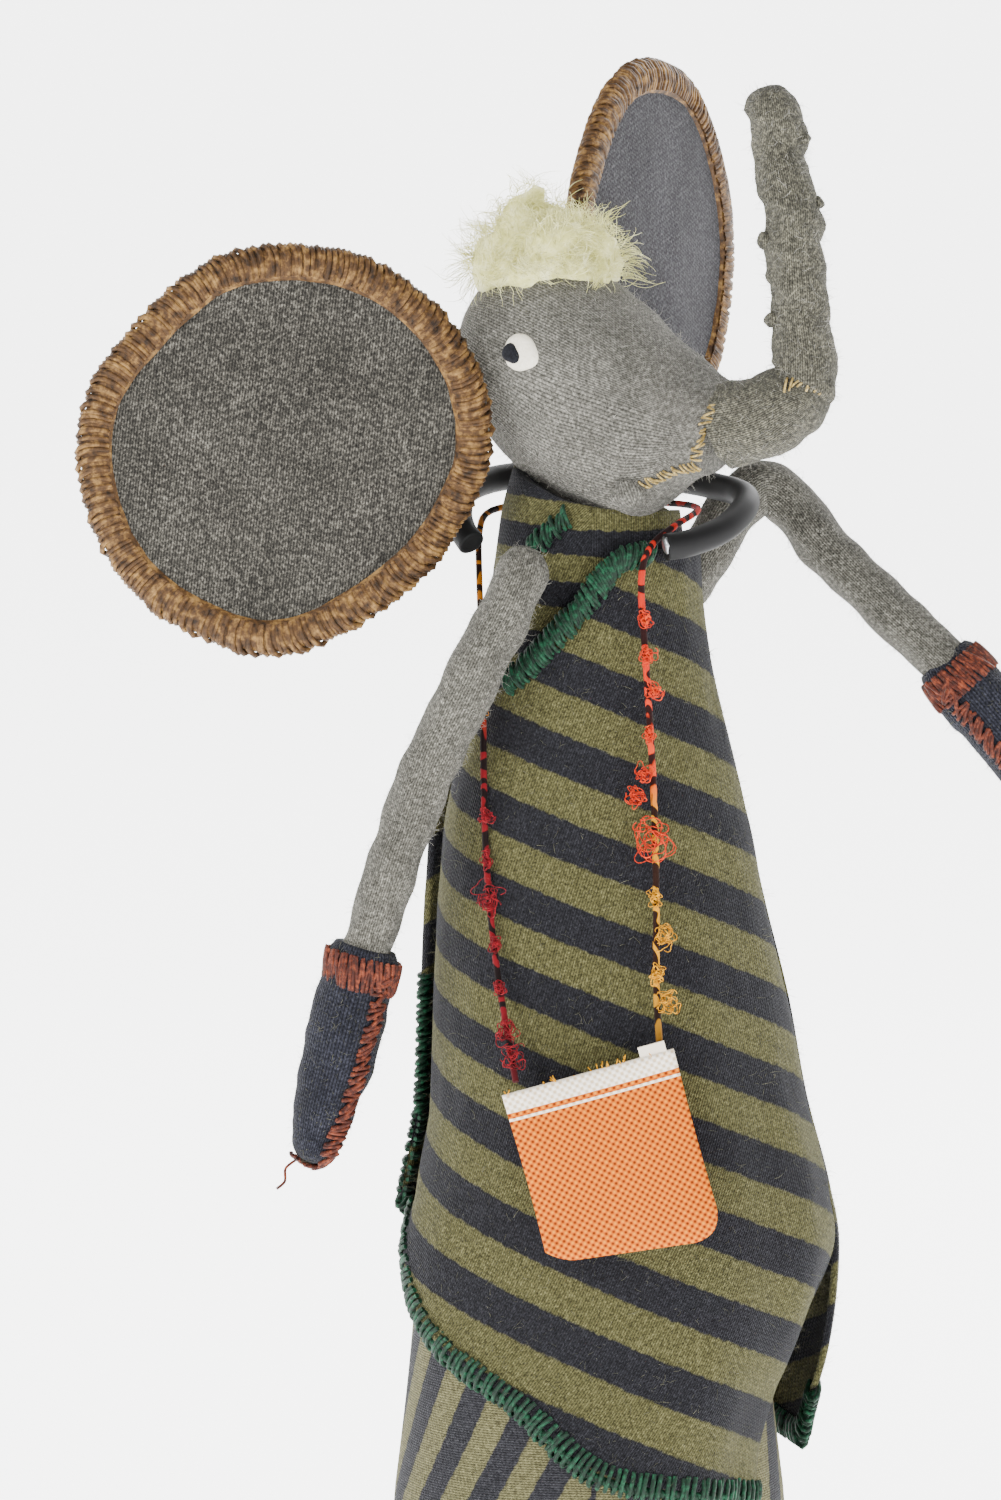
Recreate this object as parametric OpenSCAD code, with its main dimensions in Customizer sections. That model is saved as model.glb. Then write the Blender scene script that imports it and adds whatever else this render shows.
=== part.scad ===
/* [Body] */
// Half width of the sock body at the hem
hem_half_w = 47; // [45:0.5:49]
// Height of the waist, where skirt and bodice meet
waist_z = 130; // [126:1:134]
// Thickness of the knitted body wall
knit_t = 2; // [1.6:0.1:2.2]
// Thickness of the toga fabric
toga_t = 1.6; // [1.2:0.1:1.8]
/* [Ears] */
// Outer radius of each ear over its edging
ear_r = 41.5; // [39:0.5:42]
// Thickness of one ear panel
ear_panel_t = 1.4; // [1:0.1:1.6]
// Radius of the stitched edging's section
edging_r = 3.2; // [2.8:0.1:3.4]
/* [Limbs] */
// Radius of an arm sleeve
arm_r = 5.4; // [4.8:0.1:5.6]
// Radius of the bending wire in arms and trunk
wire_r = 0.8; // [0.6:0.1:1]
// Radius of the upper trunk at its base
trunk_r = 5.2; // [4.8:0.1:5.6]
/* [Neck clip] */
// Outer radius of the clip's black sleeve
clip_r = 2.8; // [2.6:0.1:2.9]
// Radius of the steel rod inside the sleeve
clip_rod_r = 1.6; // [1.4:0.1:1.8]
// Radius of the plain pin that a stand's socket takes
stand_pin_r = 2.4; // [2.2:0.1:2.6]
/* [Pouch] */
// Width of the pouch
pouch_w = 36; // [34:0.5:38]
// Height of the pouch
pouch_h = 33.5; // [31:0.5:35]
// Thickness of one pouch panel
pouch_t = 1.3; // [1:0.1:1.5]
/* [Hidden] */
$fn = 48;
gap = 0.35; // clearance between pieces that don't touch

// Half width and half depth of the sock body's outer face, by height
body_w_rows = [[0, hem_half_w], [70, 41], [111, 36.5], [130, 34], [153, 30.8], [195, 29.5], [215, 27.5],
  [247, 21.4], [264, 20], [276, 18.5], [300, 18]];
body_d_rows = [[0, 33], [70, 29], [111, 27], [153, 24], [195, 20], [215, 18], [247, 15], [264, 13.6],
  [276, 13.4], [300, 13.4]];
// Left edge, right edge and half depth of the toga's outer face, by height
toga_left_rows = [[60, -47], [90, -42.5], [111, -40], [122, -39.5], [132, -37.5], [153, -34.5], [195, -32.3],
  [215, -30.2], [247, -24], [270, -22.6]];
toga_right_rows = [[60, 47], [80, 46], [100, 51], [120, 52.7], [132, 51], [153, 46], [174, 42], [195, 36.5],
  [215, 32], [247, 25], [270, 23]];
toga_d_rows = [[60, 34], [111, 30.5], [132, 29], [153, 27], [195, 23], [215, 20.8], [247, 17.6], [270, 16]];
// Hem and top edge of the toga, by angle: 180 is the right side, 270 the front, 360 the left side
front_hem_rows = [[170, 130], [186, 124], [200, 113], [220, 103], [245, 94], [270, 81], [300, 76], [330, 72],
  [352, 71]];
front_top_rows = [[170, 228], [200, 233], [235, 244], [262, 256], [285, 267], [352, 268]];
back_hem_rows = [[356, 92], [370, 80], [400, 84], [450, 100], [500, 120], [528, 130]];
back_top_rows = [[356, 268], [430, 267], [470, 255], [528, 228]];
bottom_z = 0;
bodice_top_z = 273;

// Head: skull, jaw, muzzle and chin balls
skull = [[-8, 3, 308], 20];
jaw = [[-2, -5, 292], 16];
muzzle = [[25, -18, 292.5], 10];
chin = [[6, -19, 279], 5.2];
nod_at = [-5, 0, 300];
neck_at = [-5, 0, 0];
face_turn = -30; // heading of the face about +Z
side_dir = [0.5, 0.866, 0];
// Ears
ear_right_at = [-62.5, -17.5, 288.5];
ear_left_at = [15, 47, 330];
ear_left_turn = 64;
ear_panel_r = ear_r - 1.6;
// Trunk
trunk_base = [29, -20.5, 293];
trunk_elbow = [41.5, -27, 299.5];
trunk_top = [35.5, -24, 357];
trunk_mid = [40.5, -27, 326];
// Arms: root, arch, elbow, wrist and finger tip
right_root = [-14, -22, 264.5];
right_elbow = [-32.5, -21, 226];
right_wrist = [-46.3, -20, 186];
right_tip = [-56.6, -20, 147];
left_root = [22, 15.5, 262];
left_arch = [37, 25, 280];
left_elbow = [49.6, 21.8, 268.4];
left_wrist = [76, 15, 243];
left_tip = [102, 10, 213];
// Yoke wire across the shoulders, from one arm's root to the other's
yoke_route = [[-14, -10.3, 260], [-14, 0, 249], [-9, 7, 246], [0, 9, 246], [10, 9, 247], [16, 8, 256]];
// Clip: the steel rod's route, from the open left end round the back of the neck to the right end
clip_route = [[-24.6, -11, 269.5], [-26.6, -8, 272.5], [-27.2, -3, 276], [-26, 5, 279.6], [-20, 14, 282],
  [-10, 20, 283], [4, 21, 283], [18, 17, 282], [27, 9, 280.5], [31.6, 1, 279], [31.6, -6, 276.5],
  [27, -13, 272.5], [20, -17.5, 269.8], [15, -19, 269]];
// Straps: each runs from the pouch up the front, over the collar and back behind the neck
strap_r = 0.7;
strap_right_route = [[-15.5, -31.4, 161.4], [-17.5, -26, 172], [-20, -20.5, 188], [-21.5, -17, 205],
  [-22, -15, 220], [-22.2, -12, 237], [-22.6, -8.5, 252], [-23, -5, 263], [-23, 0, 271], [-21.5, 7, 275],
  [-16, 13.5, 276.5], [-8, 16.6, 277], [0, 17.4, 277]];
strap_left_route = [[13.5, -31.4, 169.4], [13, -28, 180], [13, -24.6, 200], [12.5, -22, 220],
  [11, -19.6, 245], [10, -18.4, 262], [12, -16.8, 269], [17, -12, 273], [21.5, -5, 275.5], [22, 3, 276.5],
  [17.5, 11.5, 277], [9, 16.6, 277], [0.1, 17.4, 277]];
// Pouch: middle of its top edge, its lean and its tilt
pouch_at = [-1, -32.6, 163.6];
pouch_lean = -4;
pouch_tilt = -15.5;
pouch_depth = 2 * pouch_t;

function unit(v) = v / norm(v);
function flat(rows) = [for (row = rows) each row];
function bend(p0, p1, p2, p3, t) = 0.5 * (2 * p1 + (p2 - p0) * t + (2 * p0 - 5 * p1 + 4 * p2 - p3) * t * t
  + (3 * p1 - p0 - 3 * p2 + p3) * t * t * t);
function smooth(p, n) = let (m = len(p) - 1) concat(
  [for (i = [0:m - 1], k = [0:n - 1]) bend(p[max(i - 1, 0)], p[i], p[i + 1], p[min(i + 2, m)], k / n)],
  [p[m]]);
function tangent(p, i) = unit(p[min(i + 1, len(p) - 1)] - p[max(i - 1, 0)]);
function carried(p, side, i = 0, done = []) = i == len(p) ? done :
  let (t = tangent(p, i), s = i == 0 ? side : done[i - 1]) carried(p, side, i + 1, concat(done, [unit(s - (s * t) * t)]));
function ring(at, t, s, r, sides) = let (u = cross(t, s))
  [for (k = [0:sides - 1]) at + r * (cos(360 * k / sides) * s + sin(360 * k / sides) * u)];
function rings(path, side, r, sides) = let (s = carried(path, side))
  [for (i = [0:len(path) - 1]) ring(path[i], tangent(path, i), s[i], r, sides)];
function body_at(z, a, inset) = [(lookup(z, body_w_rows) - inset) * cos(a),
  (lookup(z, body_d_rows) - inset) * sin(a), z];
function toga_at(z, a, inset) = let (l = lookup(z, toga_left_rows), r = lookup(z, toga_right_rows))
  [(l + r) / 2 + ((r - l) / 2 - inset) * cos(a), (lookup(z, toga_d_rows) - inset) * sin(a), z];
function spread(lo, hi, n) = [for (i = [0:n]) lo + (hi - lo) * i / n];

// A closed solid between an outer and an inner grid of points
module grid_solid(outer, inner, loop) {
  nr = len(outer);
  nc = len(outer[0]);
  off = nr * nc;
  last = loop ? nc - 1 : nc - 2;
  top = (nr - 1) * nc;
  skin = [for (r = [0:nr - 2], c = [0:last]) let (d = (c + 1) % nc, a = r * nc, b = a + nc) each
    [[a + c, b + c, b + d], [a + c, b + d, a + d], [off + a + c, off + b + d, off + b + c],
    [off + a + c, off + a + d, off + b + d]]];
  rims = [for (c = [0:last]) let (d = (c + 1) % nc) each
    [[c, d, off + d], [c, off + d, off + c],
    [top + d, top + c, off + top + c], [top + d, off + top + c, off + top + d]]];
  sides = loop ? [] : [for (r = [0:nr - 2]) let (a = r * nc, b = a + nc, c = nc - 1) each
    [[b, a, off + a], [b, off + a, off + b],
    [a + c, b + c, off + b + c], [a + c, off + b + c, off + a + c]]];
  polyhedron(concat(flat(outer), flat(inner)), concat(skin, rims, sides));
}

// A solid tube swept along a route
module sweep(path, side, r, sides) {
  rows = rings(path, side, r, sides);
  n = len(path);
  skin = [for (i = [0:n - 2], k = [0:sides - 1]) let (m = (k + 1) % sides, a = i * sides, b = a + sides) each
    [[a + k, b + k, b + m], [a + k, b + m, a + m]]];
  caps = [[for (k = [0:sides - 1]) k], [for (k = [sides - 1:-1:0]) (n - 1) * sides + k]];
  polyhedron(flat(rows), concat(skin, caps));
}

module rod(p, q, r1, r2) {
  d = q - p;
  translate(p)
    rotate([0, acos(d.z / norm(d)), atan2(d.y, d.x)])
      cylinder(h = norm(d), r1 = r1, r2 = r2);
}

module ball(p, r) {
  translate(p)
    sphere(r = r);
}

// A wall of the sock body between two heights
module body_wall(lo, hi, n, t) {
  angles = [for (k = [0:35]) k * 10];
  grid_solid([for (z = spread(lo, hi, n)) [for (a = angles) body_at(z, a, 0)]],
    [for (z = spread(lo, hi, n)) [for (a = angles) body_at(z, a, t)]], true);
}

module skirt() {
  color("#6b6c55")
    body_wall(bottom_z, waist_z, 10, knit_t);
}

module bodice() {
  color("#4a4b3c")
    body_wall(waist_z, bodice_top_z, 14, knit_t);
}

// One layer of the toga, from its hem row up to its top row
module toga_layer(a0, a1, hem, top, n) {
  angles = spread(a0, a1, n);
  steps = spread(0, 1, 14);
  grid_solid([for (s = steps) [for (a = angles) toga_at(lookup(a, hem) * (1 - s) + lookup(a, top) * s, a, 0)]],
    [for (s = steps) [for (a = angles) toga_at(lookup(a, hem) * (1 - s) + lookup(a, top) * s, a, toga_t)]], false);
}

module toga_front() {
  color("#55573c")
    toga_layer(172, 352, front_hem_rows, front_top_rows, 24);
}

module toga_back() {
  color("#4f5139")
    toga_layer(356, 528, back_hem_rows, back_top_rows, 20);
}

// A green edge stitched on along one edge of a toga layer
module edge_stitch(a0, a1, rows, shift, n) {
  path = [for (a = spread(a0, a1, n)) toga_at(lookup(a, rows) + shift, a, toga_t / 2)];
  color("#24543d")
    sweep(path, [0, 0, 1], 1.5, 8);
}

module front_hem_stitching() {
  edge_stitch(176, 351, front_hem_rows, -1.5, 30);
}

module back_hem_stitching() {
  edge_stitch(358, 526, back_hem_rows, -1.5, 24);
}

module neckline_stitching() {
  edge_stitch(190, 285, front_top_rows, 1.5, 20);
}

module neck_tube() {
  color("#8a7a62")
    translate([neck_at.x, neck_at.y, 256])
      difference() {
        cylinder(h = 20, r = 9);
        translate([0, 0, -1])
          cylinder(h = 22, r = 7.6);
      }
}

module arm_yoke() {
  color("#9a9a9a")
    sweep(smooth(yoke_route, 3), [1, 0, 0], wire_r, 12);
}

module clip_rod() {
  color("#b9bcc0")
    sweep(smooth(clip_route, 2), [0, 0, 1], clip_rod_r, 12);
}

module clip_sleeve() {
  path = smooth(clip_route, 2);
  inner = rings(path, [0, 0, 1], clip_rod_r + 0.05, 12);
  outer = rings(path, [0, 0, 1], clip_r, 12);
  color("#2b2b2c")
    grid_solid(outer, inner, true);
}

module stand_pin() {
  color("#a8abb0")
    translate([-3, 21 + clip_r + 0.02, 283])
      rotate([-90, 0, 0])
        cylinder(h = 20, r = stand_pin_r);
}

module strap_right() {
  color("#8a2a26")
    sweep(smooth(strap_right_route, 4), [1, 0, 0], strap_r, 8);
}

module strap_left() {
  color("#c8502c")
    sweep(smooth(strap_left_route, 4), [1, 0, 0], strap_r, 8);
}

// The finger post turns in the neck tube and carries the head
module neck_post() {
  color("#8a7a62") {
    translate([neck_at.x, neck_at.y, 258])
      cylinder(h = 34, r = 7.2);
    ball(nod_at, 10);
  }
}

module head_hull(shrink) {
  hull() {
    ball(skull[0], skull[1] - shrink, $fn = 28);
    ball(jaw[0], jaw[1] - shrink, $fn = 24);
    ball(muzzle[0], muzzle[1] - shrink, $fn = 20);
    ball(chin[0], chin[1] - shrink, $fn = 16);
  }
}

// The space in which the finger post stands while the head nods
module post_room(grow) {
  ball(nod_at, 10 + grow);
  translate([nod_at.x, nod_at.y, 262])
    cylinder(h = 33, r1 = 18.5 + grow, r2 = 9.2 + grow);
}

module head_skin() {
  color("#7c7b77")
    difference() {
      head_hull(0);
      head_hull(1.6);
      post_room(1.2);
    }
}

module head_stuffing() {
  color("#e6e2d6")
    difference() {
      head_hull(1.7);
      post_room(gap);
    }
}

module jaw_seam() {
  color("#b8a67e")
    sweep([[5.5, -24.5, 277], [12, -26.5, 280.5], [18, -27, 283], [24, -26.8, 284.3]], [0, 0, 1], 0.7, 8);
}

module on_face(p, turn, up) {
  translate(p)
    rotate([0, 0, turn])
      rotate([90 + up, 0, 0])
        children();
}

module eye_white_right() {
  color("#e8e2d0")
    on_face([-12.6, -17.3, 308.8], -14, -6)
      cylinder(h = 1.2, r = 4.2);
}

module pupil_right() {
  color("#15161a")
    on_face([-13, -18.6, 309], -14, -6)
      cylinder(h = 1.2, r = 2.1);
}

module eye_white_left() {
  color("#e8e2d0")
    on_face([11, 10.5, 311], 134, -10)
      cylinder(h = 1.2, r = 4.2);
}

module pupil_left() {
  color("#15161a")
    on_face([12.1, 11.5, 311.3], 134, -10)
      cylinder(h = 1.2, r = 2.1);
}

module hair_tuft() {
  color("#dadbb4")
    difference() {
      union() {
        ball([-11, -2, 327], 16);
        ball([-19, -1, 321], 9.5);
        ball([0, -4, 323.5], 10.5);
      }
      ball(skull[0], skull[1] + 0.05);
    }
}

// Places a part drawn in the ear's own plane, where +Z faces out of the ear's front
module in_ear(at, turn) {
  translate(at)
    rotate([0, 0, turn])
      rotate([90, 0, 0])
        children();
}

module ear_panel(lo) {
  translate([0, 0, lo])
    cylinder(h = ear_panel_t, r = ear_panel_r - 2.2);
}

module ear_wire() {
  rotate_extrude()
    translate([ear_panel_r - 1.1, 0])
      circle(r = wire_r, $fn = 24);
}

module ear_edging() {
  rotate_extrude()
    translate([ear_r - edging_r, 0])
      difference() {
        circle(r = edging_r, $fn = 24);
        translate([-6.4, -ear_panel_t - 0.05])
          square([6, 2 * ear_panel_t + 0.1]);
        translate([edging_r - 2.7, 0])
          circle(r = wire_r + 0.02, $fn = 24);
      }
}

// Keeps the left ear clear of the skull and the hair that it is sewn beside
module clear_of_skull() {
  difference() {
    children();
    ball([-9.5, 0, 318], 26);
    ball([1, 5, 298], 22);
  }
}

module ear_right_front() {
  color("#5f5d59")
    in_ear(ear_right_at, 0)
      ear_panel(0.02);
}

module ear_right_back() {
  color("#6b6965")
    in_ear(ear_right_at, 0)
      ear_panel(-ear_panel_t);
}

module ear_right_wire() {
  color("#9a9a9a")
    in_ear(ear_right_at, 0)
      ear_wire();
}

module ear_right_edging() {
  color("#8a6d4d")
    in_ear(ear_right_at, 0)
      ear_edging();
}

module ear_left_front() {
  color("#55535a")
    clear_of_skull()
      in_ear(ear_left_at, ear_left_turn)
        ear_panel(0.02);
}

module ear_left_back() {
  color("#615f64")
    clear_of_skull()
      in_ear(ear_left_at, ear_left_turn)
        ear_panel(-ear_panel_t);
}

module ear_left_wire() {
  color("#9a9a9a")
    clear_of_skull()
      in_ear(ear_left_at, ear_left_turn)
        ear_wire();
}

module ear_left_edging() {
  color("#8a6d4d")
    clear_of_skull()
      in_ear(ear_left_at, ear_left_turn)
        ear_edging();
}

function toward(p, q, d) = p + d * unit(q - p);

module trunk_lower_sleeve() {
  a = toward(trunk_base, trunk_elbow, 1.6);
  color("#757470")
    difference() {
      union() {
        rod(a, toward(trunk_elbow, trunk_base, 3.5), 8, 6.7);
        ball(trunk_elbow, 6.9);
      }
      rod(trunk_base, toward(trunk_elbow, trunk_base, 0.8), wire_r + 0.05, wire_r + 0.05);
      head_room();
    }
}

// The rounded end of the muzzle, with room for the trunk's base to swing
module head_room() {
  ball(muzzle[0], muzzle[1] + 0.6);
}

module trunk_base_seam() {
  p = toward(trunk_base, trunk_elbow, 7.4);
  q = toward(trunk_base, trunk_elbow, 8.8);
  color("#8f7a55")
    difference() {
      rod(p, q, 8.3, 8.2);
      rod(toward(p, q, -1), toward(q, p, -1), 7.2, 7.2);
    }
}

module trunk_lower_wire() {
  color("#9a9a9a")
    rod(toward(trunk_base, trunk_elbow, 7.5), toward(trunk_elbow, trunk_base, 1), wire_r, wire_r);
}

module trunk_upper_sleeve() {
  a = toward(trunk_elbow, trunk_mid, 5.8);
  b = toward(trunk_top, trunk_mid, 5.4);
  color("#757470")
    difference() {
      union() {
        rod(a, trunk_mid, 5.6, trunk_r);
        ball(trunk_mid, trunk_r + 0.2);
        rod(trunk_mid, b, trunk_r, 4.9);
        ball(b, 5.2);
      }
      ball(trunk_elbow, 7.3);
      bent_wire(a, trunk_mid, b, wire_r + 0.05);
    }
}

module trunk_elbow_seam() {
  p = toward(trunk_elbow, trunk_mid, 8.2);
  q = toward(trunk_elbow, trunk_mid, 9.4);
  color("#b8a67e")
    difference() {
      rod(p, q, 6.1, 6.1);
      rod(toward(p, q, -1), toward(q, p, -1), 5.2, 5.2);
    }
}

module trunk_upper_wire() {
  color("#9a9a9a")
    bent_wire(toward(trunk_elbow, trunk_mid, 7.6), trunk_mid, toward(trunk_top, trunk_mid, 5.6), wire_r);
}

// A wire with one bend in it, a little swollen at the bend
module bent_wire(p, q, r, thick) {
  rod(p, q, thick, thick);
  ball(q, thick * 1.2);
  rod(q, r, thick, thick);
}

// Arms: a wad at the shoulder, an upper sleeve with the elbow ball, a lower sleeve
module wad(root) {
  color("#757470")
    ball(root, arm_r - 0.3);
}

module upper_arm(root, mid, elbow) {
  color("#757470")
    difference() {
      union() {
        rod(toward(root, mid, 3.4), mid, arm_r, arm_r);
        ball(mid, arm_r + 0.2);
        rod(mid, toward(elbow, mid, 3), arm_r, arm_r - 0.2);
        ball(elbow, arm_r - 0.4);
      }
      ball(root, arm_r + 0.2);
      bent_wire(root, mid, toward(elbow, mid, 2), wire_r + 0.05);
    }
}

module upper_wire(root, mid, elbow) {
  color("#9a9a9a")
    bent_wire(toward(root, mid, arm_r + 0.6), mid, toward(elbow, mid, 2.2), wire_r);
}

module lower_arm(elbow, wrist) {
  color("#757470")
    difference() {
      rod(toward(elbow, wrist, 3.2), wrist, arm_r - 0.2, arm_r - 0.4);
      ball(elbow, arm_r - 0.05);
      rod(elbow, toward(wrist, elbow, -1), wire_r + 0.05, wire_r + 0.05);
    }
}

module lower_wire(elbow, wrist) {
  color("#9a9a9a")
    rod(toward(elbow, wrist, arm_r + 0.4), toward(wrist, elbow, 0.4), wire_r, wire_r);
}

module mitten(wrist, tip) {
  color("#45464e") {
    rod(wrist, toward(wrist, tip, 8.5), 6.7, 6.8);
    rod(toward(wrist, tip, 7), tip, 7, 4.6);
    ball(tip, 4.8);
  }
}

module mitten_trim(wrist, tip) {
  p = toward(wrist, tip, 1.5);
  q = toward(wrist, tip, 7);
  color("#7a4536")
    difference() {
      rod(p, q, 7.4, 7.5);
      rod(toward(p, q, -1), toward(q, p, -1), 6.6, 6.6);
    }
}

module shoulder_right_wad() {
  wad(right_root);
}

module arm_right_upper() {
  upper_arm(right_root, (right_root + right_elbow) / 2, right_elbow);
}

module arm_right_upper_wire() {
  upper_wire(right_root, (right_root + right_elbow) / 2, right_elbow);
}

module arm_right_lower() {
  lower_arm(right_elbow, right_wrist);
}

module arm_right_lower_wire() {
  lower_wire(right_elbow, right_wrist);
}

module mitten_right() {
  mitten(right_wrist, right_tip);
}

module mitten_right_trim() {
  mitten_trim(right_wrist, right_tip);
}

module shoulder_left_wad() {
  wad(left_root);
}

module arm_left_upper() {
  upper_arm(left_root, left_arch, left_elbow);
}

module arm_left_upper_wire() {
  upper_wire(left_root, left_arch, left_elbow);
}

module arm_left_lower() {
  lower_arm(left_elbow, left_wrist);
}

module arm_left_lower_wire() {
  lower_wire(left_elbow, left_wrist);
}

module mitten_left() {
  mitten(left_wrist, left_tip);
}

module mitten_left_trim() {
  mitten_trim(left_wrist, left_tip);
}

// Places a part drawn in the pouch's own plane, hanging down from the top edge's middle
module in_pouch() {
  translate(pouch_at)
    rotate([0, pouch_tilt, 0])
      rotate([pouch_lean, 0, 0])
        children();
}

// One pouch panel between two depths, with round lower corners
module pouch_panel(y) {
  r = 7;
  translate([0, y, 0])
    rotate([90, 0, 0])
      linear_extrude(pouch_t) {
        translate([-pouch_w / 2, -pouch_h + r])
          square([pouch_w, pouch_h - r]);
        translate([-pouch_w / 2 + 2, -pouch_h])
          square([pouch_w - 2 - r, r + 1]);
        translate([pouch_w / 2 - r, -pouch_h + r])
          circle(r = r);
        translate([-pouch_w / 2 + 2, -pouch_h + 2])
          circle(r = 2);
        translate([-pouch_w / 2, -pouch_h + 2])
          square([3, r]);
      }
}

module pouch_front() {
  color("#ee7a2a")
    in_pouch()
      pouch_panel(0);
}

module pouch_back() {
  color("#ee7a2a")
    in_pouch()
      pouch_panel(pouch_t);
}

module pouch_band() {
  color("#f3e9dc")
    in_pouch()
      difference() {
        translate([-pouch_w / 2 - 0.5, -pouch_t - 0.5, -4.6])
          cube([pouch_w + 1, pouch_depth + 1, 5]);
        translate([-pouch_w / 2 - 0.02, -pouch_t - 0.02, -5])
          cube([pouch_w + 0.04, pouch_depth + 0.04, 5.02]);
      }
}

module pouch_tab() {
  color("#f3e9dc")
    in_pouch()
      translate([8.5, -0.6, 0.42])
        cube([3, 1.2, 1.6]);
}

skirt();
bodice();
toga_front();
toga_back();
front_hem_stitching();
back_hem_stitching();
neckline_stitching();
neck_tube();
arm_yoke();
clip_rod();
clip_sleeve();
stand_pin();
strap_right();
strap_left();
neck_post();
head_skin();
head_stuffing();
jaw_seam();
eye_white_right();
eye_white_left();
pupil_right();
pupil_left();
hair_tuft();
ear_right_front();
ear_right_back();
ear_right_wire();
ear_right_edging();
ear_left_front();
ear_left_back();
ear_left_wire();
ear_left_edging();
trunk_lower_sleeve();
trunk_base_seam();
trunk_lower_wire();
trunk_upper_sleeve();
trunk_elbow_seam();
trunk_upper_wire();
shoulder_right_wad();
arm_right_upper();
arm_right_upper_wire();
arm_right_lower();
arm_right_lower_wire();
mitten_right();
mitten_right_trim();
shoulder_left_wad();
arm_left_upper();
arm_left_upper_wire();
arm_left_lower();
arm_left_lower_wire();
mitten_left();
mitten_left_trim();
pouch_front();
pouch_back();
pouch_band();
pouch_tab();
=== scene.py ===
import math
import random

import bmesh
import bpy
from mathutils import Matrix, Vector, noise


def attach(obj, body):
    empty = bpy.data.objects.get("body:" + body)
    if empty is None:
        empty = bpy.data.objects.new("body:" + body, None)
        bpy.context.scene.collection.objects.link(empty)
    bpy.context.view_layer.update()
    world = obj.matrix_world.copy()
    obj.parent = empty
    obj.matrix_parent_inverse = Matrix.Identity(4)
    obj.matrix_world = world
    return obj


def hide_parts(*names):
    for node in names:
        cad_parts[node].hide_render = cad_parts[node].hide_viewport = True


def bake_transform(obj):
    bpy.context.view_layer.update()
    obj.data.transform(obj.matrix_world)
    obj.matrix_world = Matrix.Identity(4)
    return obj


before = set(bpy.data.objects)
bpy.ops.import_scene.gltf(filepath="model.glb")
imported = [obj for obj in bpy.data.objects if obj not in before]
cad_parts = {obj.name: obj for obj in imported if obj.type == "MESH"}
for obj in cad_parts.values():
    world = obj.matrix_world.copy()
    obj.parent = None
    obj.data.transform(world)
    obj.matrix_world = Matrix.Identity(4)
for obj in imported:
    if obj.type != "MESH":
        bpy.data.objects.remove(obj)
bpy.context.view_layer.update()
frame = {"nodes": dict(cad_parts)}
mm = 0.001
print("frame loaded")


def linearColour(hexText, alpha=1.0):  # sRGB hex to the linear values a shader takes
    parts = [int(hexText[i:i + 2], 16) / 255 for i in (1, 3, 5)]
    return [c / 12.92 if c <= 0.04045 else ((c + 0.055) / 1.055) ** 2.4 for c in parts] + [alpha]


def addNode(tree, kind, settings=None, links=None):  # settings are inputs or properties, links go to inputs
    node = tree.nodes.new(kind)
    for key, value in (settings or {}).items():
        if isinstance(key, int) or key in node.inputs:
            node.inputs[key].default_value = value
        else:
            setattr(node, key, value)
    for key, source in (links or {}).items():
        tree.links.new(source, node.inputs[key])
    return node


def newMaterial(name, settings):
    material = bpy.data.materials.new(name)
    material.use_nodes = True
    tree = material.node_tree
    shader = tree.nodes["Principled BSDF"]
    for key, value in settings.items():
        shader.inputs[key].default_value = value
    return material, tree, shader


def lookup(x, rows):  # reads a value between rows of (x, value)
    if x <= rows[0][0]:
        return rows[0][1]
    for (x0, y0), (x1, y1) in zip(rows, rows[1:]):
        if x <= x1:
            return y0 + (y1 - y0) * (x - x0) / (x1 - x0)
    return rows[-1][1]


def eased(x, rows):  # the same rows, read along a smooth curve
    n = len(rows) - 1
    if x <= rows[0][0]:
        return rows[0][1]
    if x >= rows[n][0]:
        return rows[n][1]
    i = max(k for k in range(n) if rows[k][0] <= x)
    t = (x - rows[i][0]) / (rows[i + 1][0] - rows[i][0])
    y = [rows[max(i - 1, 0)][1], rows[i][1], rows[i + 1][1], rows[min(i + 2, n)][1]]
    m1 = (y[2] - y[0]) / 2
    m2 = (y[3] - y[1]) / 2
    return ((2 * t ** 3 - 3 * t ** 2 + 1) * y[1] + (t ** 3 - 2 * t ** 2 + t) * m1
            + (3 * t ** 2 - 2 * t ** 3) * y[2] + (t ** 3 - t ** 2) * m2)


def smoothRoute(points, steps):  # a curve through every point
    p = [Vector(q) for q in points]
    m = len(p) - 1
    route = []
    for i in range(m):
        a, b, c, d = p[max(i - 1, 0)], p[i], p[i + 1], p[min(i + 2, m)]
        for k in range(steps):
            t = k / steps
            route.append(0.5 * (2 * b + (c - a) * t + (2 * a - 5 * b + 4 * c - d) * t * t
                                + (3 * b - a - 3 * c + d) * t ** 3))
    return route + [p[m]]


def meshObject(name, points, faces, material, uvs=None, smooth=True):  # points in millimetres
    mesh = bpy.data.meshes.new(name)
    mesh.from_pydata([tuple(Vector(p) * mm) for p in points], [], faces)
    if uvs is not None:
        layer = mesh.uv_layers.new(name="cloth")
        for loop in mesh.loops:
            layer.data[loop.index].uv = uvs[loop.vertex_index]
    mesh.materials.append(material)
    for face in mesh.polygons:
        face.use_smooth = smooth
    piece = bpy.data.objects.new(name, mesh)
    bpy.context.scene.collection.objects.link(piece)
    return piece


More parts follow.
